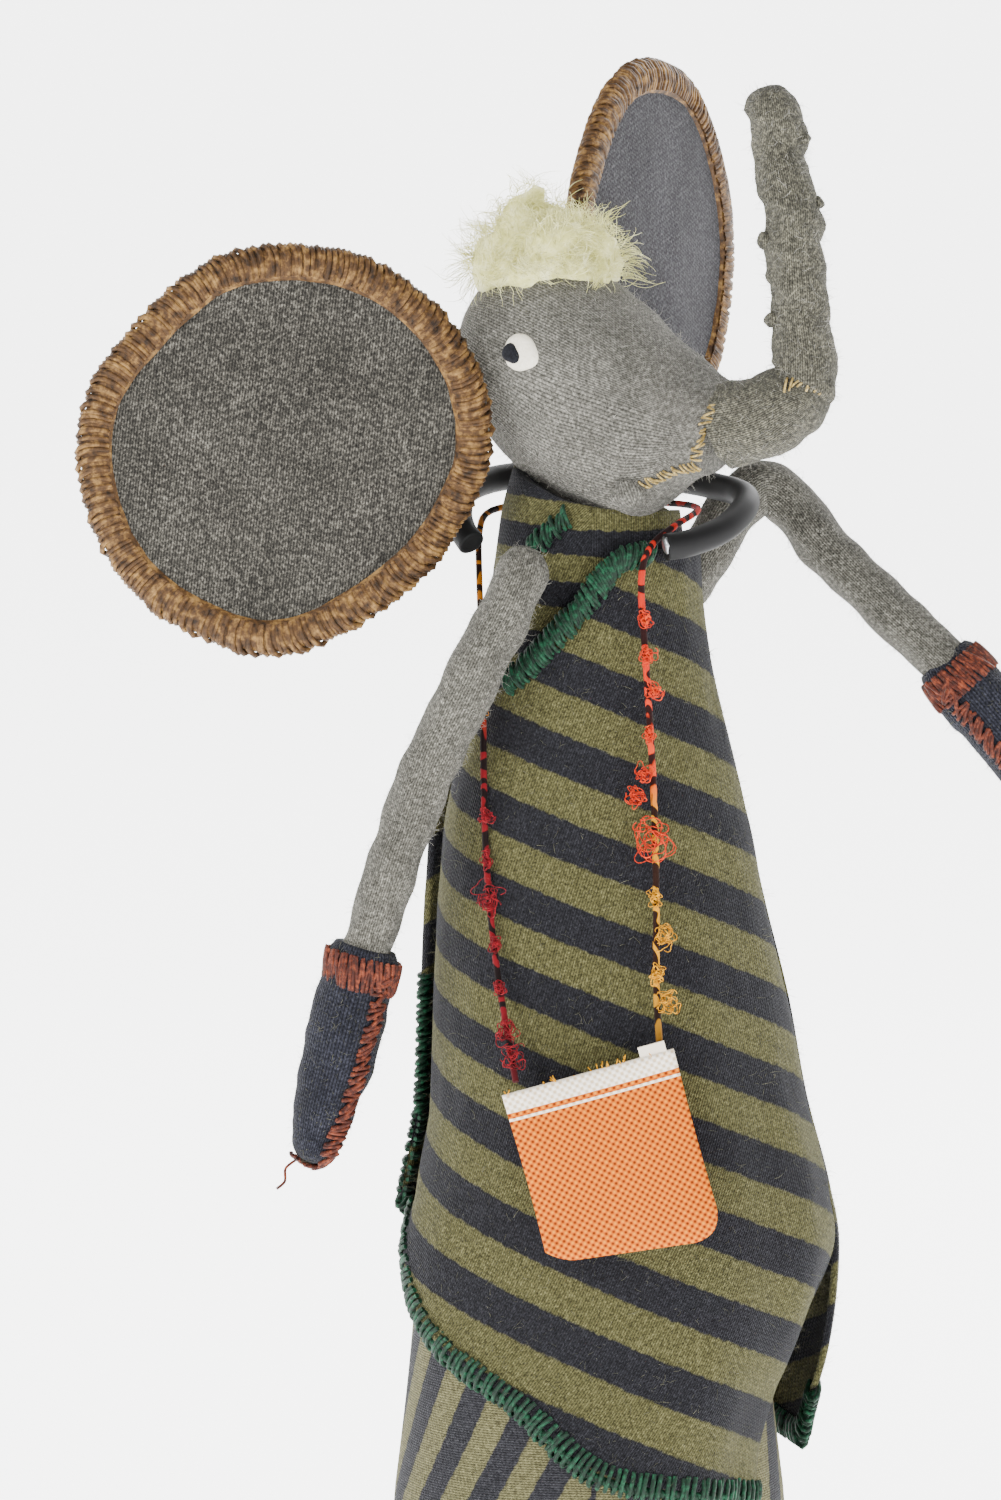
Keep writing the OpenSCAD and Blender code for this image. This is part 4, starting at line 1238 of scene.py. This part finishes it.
def collar(degrees):  # the collar's height, following the underside of the head
    return eased(degrees % 360, [(0, 274), (60, 279), (120, 284), (165, 285.5), (200, 284), (225, 281.5), (250, 278.5),
                                 (280, 276.5), (320, 276), (360, 276)])


def makeBody():
    skirtFold = lambda z, d, out: bodyAt(z, d, out + 0.7 * math.sin(math.radians(5 * d + 40)) * max(0.0, 1 - z / 130)
                                         + 0.5 * noise.noise(Vector((d * 0.03, z * 0.02, 3))))
    skirt = tubeCloth("skirt", skirtFold, 0, 131, 2.0, skirtKnit, lambda p, run, z: (z, run + 0.02 * z))
    bodiceFold = lambda z, d, out: bodyAt(z, d, out + 0.5 * noise.noise(Vector((d * 0.03, z * 0.05, 7))))
    bodice = tubeCloth("bodice", bodiceFold, 130.2, 273, 2.0, bodiceKnit,
                       lambda p, run, z: (run, z + 0.05 * p.x - 0.004 * p.x * p.x * (1 if p.y < 0 else 0)), collar)
    for piece, cad in ((skirt, "skirt"), (bodice, "bodice")):
        finishPiece(piece, "torso", "striped_knit", cad)
    return skirt, bodice


skirt, bodice = makeBody()


def drape(name, a0, a1, hem, top, material, fold, cols=170, rows=110):
    # a single sheet laid over the body, its UV the cloth's own flat shape turned to the stripes
    points, uvs, thick = [], [], 1.4
    lean = math.radians(22)  # how far the stripes fall from level
    for wall in (0, 1):
        for j in range(rows + 1):
            s = j / rows
            line = []
            for k in range(cols + 1):
                degrees = a0 + (a1 - a0) * k / cols
                z = eased(degrees, hem) * (1 - s) + eased(degrees, top) * s
                line.append((degrees, z, fold(togaAt, z, degrees, -0.1 - thick * wall)))
            start = min(range(cols + 1), key=lambda k: abs(line[k][0] - 270 if a0 < 270 else line[k][0] - 450))
            runs = [0.0] * (cols + 1)
            for k in range(start + 1, cols + 1):
                runs[k] = runs[k - 1] + (line[k][2] - line[k - 1][2]).xy.length
            for k in range(start - 1, -1, -1):
                runs[k] = runs[k + 1] - (line[k][2] - line[k + 1][2]).xy.length
            for k in range(cols + 1):
                degrees, z, p = line[k]
                points.append(p)
                uvs.append((runs[k] * math.cos(lean) - z * math.sin(lean),
                            runs[k] * math.sin(lean) + z * math.cos(lean) + fold.shift))
    piece = meshObject(name, points, wallFaces(rows, cols, sides=True), material, uvs)
    tidyMesh(piece)
    return piece


def frontFold(at, z, degrees, out):
    # hangs in two soft pleats near its right edge and clings to the chest
    low = max(0.0, min(1.0, (200 - z) / 110))
    d = 1.5 * low * math.sin(math.radians((degrees - 318) * 7.5)) * math.exp(-((degrees - 330) / 22) ** 2)
    d += 0.9 * low * math.sin(math.radians(degrees * 4 + 10))
    # the right side tucks in below the back layer's bulge
    tuck = max(0.0, min(1.0, (degrees - 296) / 50)) * max(0.0, min(1.0, (128 - z) / 34))
    d -= 8.0 * tuck * tuck * (3 - 2 * tuck)
    d += (0.8 * noise.noise(Vector((degrees * 0.03, z * 0.02, 1)))
          + 0.3 * noise.noise(Vector((degrees * 0.1, z * 0.07, 4))))
    return at(z, degrees, out + d)


def backFold(at, z, degrees, out):
    low = max(0.0, min(1.0, (200 - z) / 110))
    d = 1.0 * low * math.sin(math.radians(degrees * 5)) + 0.8 * noise.noise(Vector((degrees * 0.03, z * 0.02, 9)))
    d += 3.6 * max(0.0, (degrees - 500) / 28) ** 2
    return at(z, degrees, out + d)


frontFold.shift = 0.0
backFold.shift = 5.0


def hemStitching(name, sheetFold, a0, a1, rows, cad, count=130, climb=0.0):
    # blanket stitches over the cut edge, joined by a twisted thread along it
    line = []
    for i in range(count + 1):
        degrees = a0 + (a1 - a0) * min(1.0, i / (0.8 * count) if climb else i / count)
        z = eased(degrees, rows) + climb * max(0.0, i / count - 0.8) / 0.2
        line.append((sheetFold(togaAt, z, degrees, -0.8), sheetFold(togaAt, z, degrees, 4.0)))
    points = [p for p, q in line]
    normals = [(q - p).normalized() for p, q in line]
    outwards = []
    for i, n in enumerate(normals):
        t = heading(points, i)
        o = t.cross(n)
        outwards.append(-o if o.z > 0 else o)
    wraps = stitchRow(name + "Wraps", points, outwards, normals, greenThread,
                      {"Spacing": 1.5, "Reach": 1.4, "Flat": 2.2, "Start": -2.7, "Sweep": 5.4, "Thread": 0.52,
                       "Wander": 0.45, "Lean": 0.3})
    rope = twistedRope(name + "Rope", [p + o for p, o in zip(points, outwards)], (0, 0, 1), greenThread, 0.8, 2, 3.4)
    whole = joined(name, [wraps, rope])
    finishPiece(whole, "torso", "green_yarn", cad)
    return whole


def makeToga():
    front = drape("togaFront", 172, 352, frontHem, frontTop, togaKnit, frontFold)
    back = drape("togaBack", 356, 528, backHem, backTop, togaKnit, backFold)
    for piece, cad in ((front, "toga_front"), (back, "toga_back")):
        finishPiece(piece, "torso", "striped_knit", cad)
    for piece in (front, back):
        hairs = fuzz(piece, 5200, 2.0, darkFibre, 25)
        finishPiece(hairs, "torso", "striped_knit")
    frontEdge = hemStitching("frontHemStitching", frontFold, 176, 351, frontHem, "front_hem_stitching")
    backEdge = hemStitching("backHemStitching", backFold, 358, 527.5, backHem, "back_hem_stitching", 170, 48.0)
    return front, back, frontEdge, backEdge


front, back, frontEdge, backEdge = makeToga()


def clothArea(piece):  # one face of the cloth, with its turned edges
    return sum(face.area for face in piece.data.polygons) / 2


# the cut sizes aren't known: the numbers here are guesses, and the area is the hung cloth's own
for piece, hem, wide in ((front, frontEdge, 0.135), (back, backEdge, 0.125)):
    area = clothArea(piece)
    tall = round(max(area / wide, 0.12) + 0.02, 3)
    print(piece.name, "cloth area", round(area, 4), "flat", wide, tall)


def makeNeckline():
    # a raised satin roll of green thread along the toga's top edge, and a short one on the collar
    count, line = 90, []
    for i in range(count + 1):
        degrees = 228 + (300 - 228) * i / count
        z = eased(degrees, frontTop)
        line.append((frontFold(togaAt, z - 0.5, degrees, 0.2), frontFold(togaAt, z - 0.5, degrees, 5.0)))
    points = [p for p, q in line]
    normals = [(q - p).normalized() for p, q in line]
    roll = stitchRow("necklineSatin", points, normals, acrossOf(points, normals, 0.5, -1), greenThread,
                     {"Spacing": 0.6, "Reach": 2.5, "Flat": 0.72, **halfTurn,
                      "Thread": 0.42, "Wander": 0.3, "Lean": 0.0})
    short = []
    for i in range(20):
        t = i / 19
        p = Vector((-5, 0, 275)).lerp(Vector((-12, 0, 268.5)), t)
        a = math.degrees(math.acos(max(-1, min(1, p.x / (eased(p.z, bodyW) + 0.3)))))
        short.append((bodyAt(p.z, -a, 0.4), bodyAt(p.z, -a, 4.0)))
    points = [p for p, q in short]
    normals = [(q - p).normalized() for p, q in short]
    bit = stitchRow("collarSatin", points, normals, acrossOf(points, normals, 0.6, -1), greenThread,
                    {"Spacing": 0.8, "Reach": 2.2, "Flat": 0.6, **halfTurn,
                     "Thread": 0.4, "Wander": 0.3, "Lean": 0.0})
    whole = joined("necklineStitching", [roll, bit])
    finishPiece(whole, "torso", "green_yarn", "neckline_stitching")


makeNeckline()
print("torso made")


pouch = {"at": (-1, -32.6, 163.6), "turn": -15.5, "lean": -4, "wide": 36, "tall": 33.5, "corner": 7, "cap": 1.2}
pouchPlace = (Matrix.Translation(Vector(pouch["at"]) * mm) @ Matrix.Rotation(math.radians(pouch["turn"]), 4, "Y")
              @ Matrix.Rotation(math.radians(pouch["lean"]), 4, "X"))


def pouchCloth():
    # two walls of canvas drawn lying flat, before they are filled and turned into place
    cols, rows = 36, 34
    points, uvs = [], []
    for side in (-1, 1):
        for j in range(rows + 1):
            for k in range(cols + 1):
                low = -(pouch["tall"] + 1.8 + 4.5 * (k / cols))
                x, z = pouch["wide"] * (k / cols - 0.5), low * j / rows
                # the lower right corner is round, the lower left a little, and the sides pull in slightly
                x *= 1 - 0.018 * math.sin(math.pi * j / rows)
                if x < 0:
                    z += 2.4 * (j / rows) ** 8 * max(0.0, (-x - 12) / 6) ** 2
                right, r = pouch["wide"] / 2, pouch["corner"]
                if x > right - r and z < low + r:
                    d = Vector((x - (right - r), z - (low + r)))
                    if d.length > 0.001:
                        d = d * (max(abs(d.x), abs(d.y)) / d.length)
                    x, z = right - r + d.x, low + r + d.y
                edge = min(1.0, min(k, cols - k) / 3, (rows - j) / 3)
                points.append(Vector((x, side * (0.35 + 0.75 * math.sqrt(edge)), z)))
                uvs.append((x, z))
    # the front wall comes first here, so each face runs the other way round
    faces = [(f[0], f[3], f[2], f[1]) for f in wallFaces(rows, cols, sides=True)]
    piece = meshObject("pouch", points, faces, pouchCanvas, uvs)
    tidyMesh(piece)
    return piece


def fillOut(piece, cap):
    # the cloth swells a little, and no point moves further than the cap
    cloth = piece.modifiers.new("filling", "CLOTH")
    cloth.settings.use_pressure = True
    cloth.settings.uniform_pressure_force = 4
    cloth.settings.quality = 6
    cloth.settings.mass = 0.05
    cloth.settings.tension_stiffness = cloth.settings.compression_stiffness = 40
    cloth.settings.shear_stiffness = 20
    cloth.settings.effector_weights.gravity = 0
    cloth.point_cache.frame_start, cloth.point_cache.frame_end = 1, 20
    scene = bpy.context.scene
    rest = [v.co.copy() for v in piece.data.vertices]
    for frameNumber in range(1, 21):
        scene.frame_set(frameNumber)
    settled = bpy.data.meshes.new_from_object(piece.evaluated_get(bpy.context.evaluated_depsgraph_get()))
    scene.frame_set(1)
    piece.modifiers.clear()
    for vertex, where, old in zip(piece.data.vertices, settled.vertices, rest):
        move = where.co - old
        if move.length > cap * mm:
            move = move.normalized() * (cap * mm)
        vertex.co = old + move


def onPouch(x, y, z):
    return (pouchPlace @ (Vector((x, y, z)) * mm)) / mm


def makePouch():
    piece = pouchCloth()
    fillOut(piece, pouch["cap"])
    piece.data.transform(pouchPlace)
    tab = meshObject("pouchTab", [onPouch(x, y, z) for z in (-0.6, 2.1) for x, y in
                                  ((11.0, -0.9), (16.5, -0.9), (16.5, 0.5), (11.0, 0.5))],
                     [(0, 1, 2, 3), (7, 6, 5, 4), (0, 4, 5, 1), (1, 5, 6, 2), (2, 6, 7, 3), (3, 7, 4, 0)],
                     pouchCanvas, [(0, 0)] * 8, smooth=False)
    tidyMesh(tab)
    # loose threads fraying from the selvedge
    rnd, parts = random.Random(3), []
    for i in range(26):
        x = rnd.uniform(-17.5, 17.5)
        start = Vector((x, rnd.uniform(-1.2, 0.2), rnd.uniform(-0.4, 0.1)))
        path = [start, start + Vector((rnd.uniform(-0.6, 0.6), rnd.uniform(-0.5, 0.3), rnd.uniform(0.5, 1.4)))]
        route = smoothRoute([onPouch(*path[0]), onPouch(*path[1])], 3)
        parts.append(loft("fray" + str(i), tubeRings(route, [0.13] * len(route), (1, 0, 0), 5), yellowSlub))
    band = joined("pouchBandFray", parts)
    for item, cad, slot in ((piece, ("pouch_front", "pouch_back"), "orange_canvas"),
                            (band, ("pouch_band",), "white_selvedge"), (tab, ("pouch_tab",), "white_selvedge")):
        finishPiece(item, "pouch", slot, *cad)


makePouch()
print("pouch made")


def makeClipSleeve():
    route = smoothRoute([(-24.6, -11, 269.5), (-26.6, -8, 272.5), (-27.2, -3, 276), (-26, 5, 279.6), (-20, 14, 282),
                         (-10, 20, 283), (4, 21, 283), (18, 17, 282), (27, 9, 280.5), (31.6, 1, 279),
                         (31.6, -6, 276.5), (27, -13, 272.5), (20, -17.5, 269.8), (15, -19, 269)], 8)
    line = sideVectors(route, (0, 0, 1))
    rings, n = [], 28
    for i, (t, s) in enumerate(line):
        u = t.cross(s)
        r = 2.8 * (1 + 0.025 * noise.noise(route[i] * 0.35))
        rings.append([route[i] + (math.cos(2 * math.pi * k / n) * s + math.sin(2 * math.pi * k / n) * u) * r
                      for k in range(n)])
    # the cut ends turn in to the rod
    for at, t in ((0, -line[0][0]), (-1, line[-1][0])):
        edge = [route[at] + (p - route[at]) * 0.86 + t * 0.25 for p in rings[at]]
        lip = [route[at] + (p - route[at]) * 0.62 + t * 0.1 for p in rings[at]]
        if at == 0:
            rings = [lip, edge] + rings
        else:
            rings = rings + [edge, lip]
    sleeve = loft("clipSleeve", rings, rubberSleeve)
    end, t = route[-1], line[-1][0]
    ball = [end + Vector((-0.2, -0.9, 0.4)) + t * (0.7 * f - 0.2) for f in (0, 0.4, 0.7, 0.9, 1.0)]
    scuff = loft("scuffedTip", tubeRings(ball, [1.9, 1.8, 1.5, 1.0, 0.3], (0, 0, 1), 20, 0.5, 1.2, 2), steelWire)
    for piece, slot in ((sleeve, "clip_rubber"), (scuff, "clip_steel")):
        finishPiece(piece, "torso", slot)
    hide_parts("clip_sleeve")


def finishCadParts():  # hard parts keep their frame shape and take a finish
    nodes = frame["nodes"]
    for name, material in (("clip_rod", steelWire), ("stand_pin", steelWire),
                           ("arm_yoke", steelWire), ("neck_tube", cardTube), ("neck_post", cardTube)):
        for slotItem in nodes[name].material_slots:
            slotItem.material = material
    for name in nodes:
        if name.endswith("_wire"):
            for slotItem in nodes[name].material_slots:
                slotItem.material = steelWire


makeClipSleeve()
finishCadParts()


def makeStudio():
    # near-white paper sweep, a soft key from the left, a fill and a rim
    paper, _, _ = newMaterial("palePaper", {"Base Color": linearColour("#f4f4f3"), "Roughness": 0.95,
                                                    "Specular IOR Level": 0.05,
                                                    "Emission Color": linearColour("#f6f6f6"),
                                                    "Emission Strength": 3.9})
    rows = [(-9000, -4), (-1000, -4), (600, -4), (1200, 40), (1800, 260), (2300, 800), (2500, 1600), (2500, 4000)]
    route = smoothRoute([(0, y, z) for y, z in rows], 12)
    points, faces = [], []
    for p in route:
        points.extend([Vector((-9000, p.y, p.z)), Vector((9000, p.y, p.z))])
    for i in range(len(route) - 1):
        faces.append((2 * i, 2 * i + 1, 2 * i + 3, 2 * i + 2))
    floor = meshObject("floor", points, faces, paper)
    world = bpy.data.worlds.new("studio")
    bpy.context.scene.world = world
    world.use_nodes = True
    world.node_tree.nodes["Background"].inputs[0].default_value = linearColour("#f4f5f7")
    world.node_tree.nodes["Background"].inputs[1].default_value = 0.55
    lamps = {"key": ((-800, -800, 950), 0.6, 19.0), "fill": ((900, -800, 500), 0.9, 7.0),
             "rim": ((500, 700, 900), 0.6, 12.0)}
    for name, (place, size, power) in lamps.items():
        data = bpy.data.lights.new(name, "AREA")
        data.energy = power
        data.size = size
        lamp = bpy.data.objects.new(name, data)
        lamp.location = Vector(place) * mm
        lamp.rotation_euler = (Vector((-0.015, 0, 0.23)) - lamp.location).to_track_quat("-Z", "Y").to_euler()
        bpy.context.scene.collection.objects.link(lamp)


makeStudio()
bpy.context.view_layer.update()
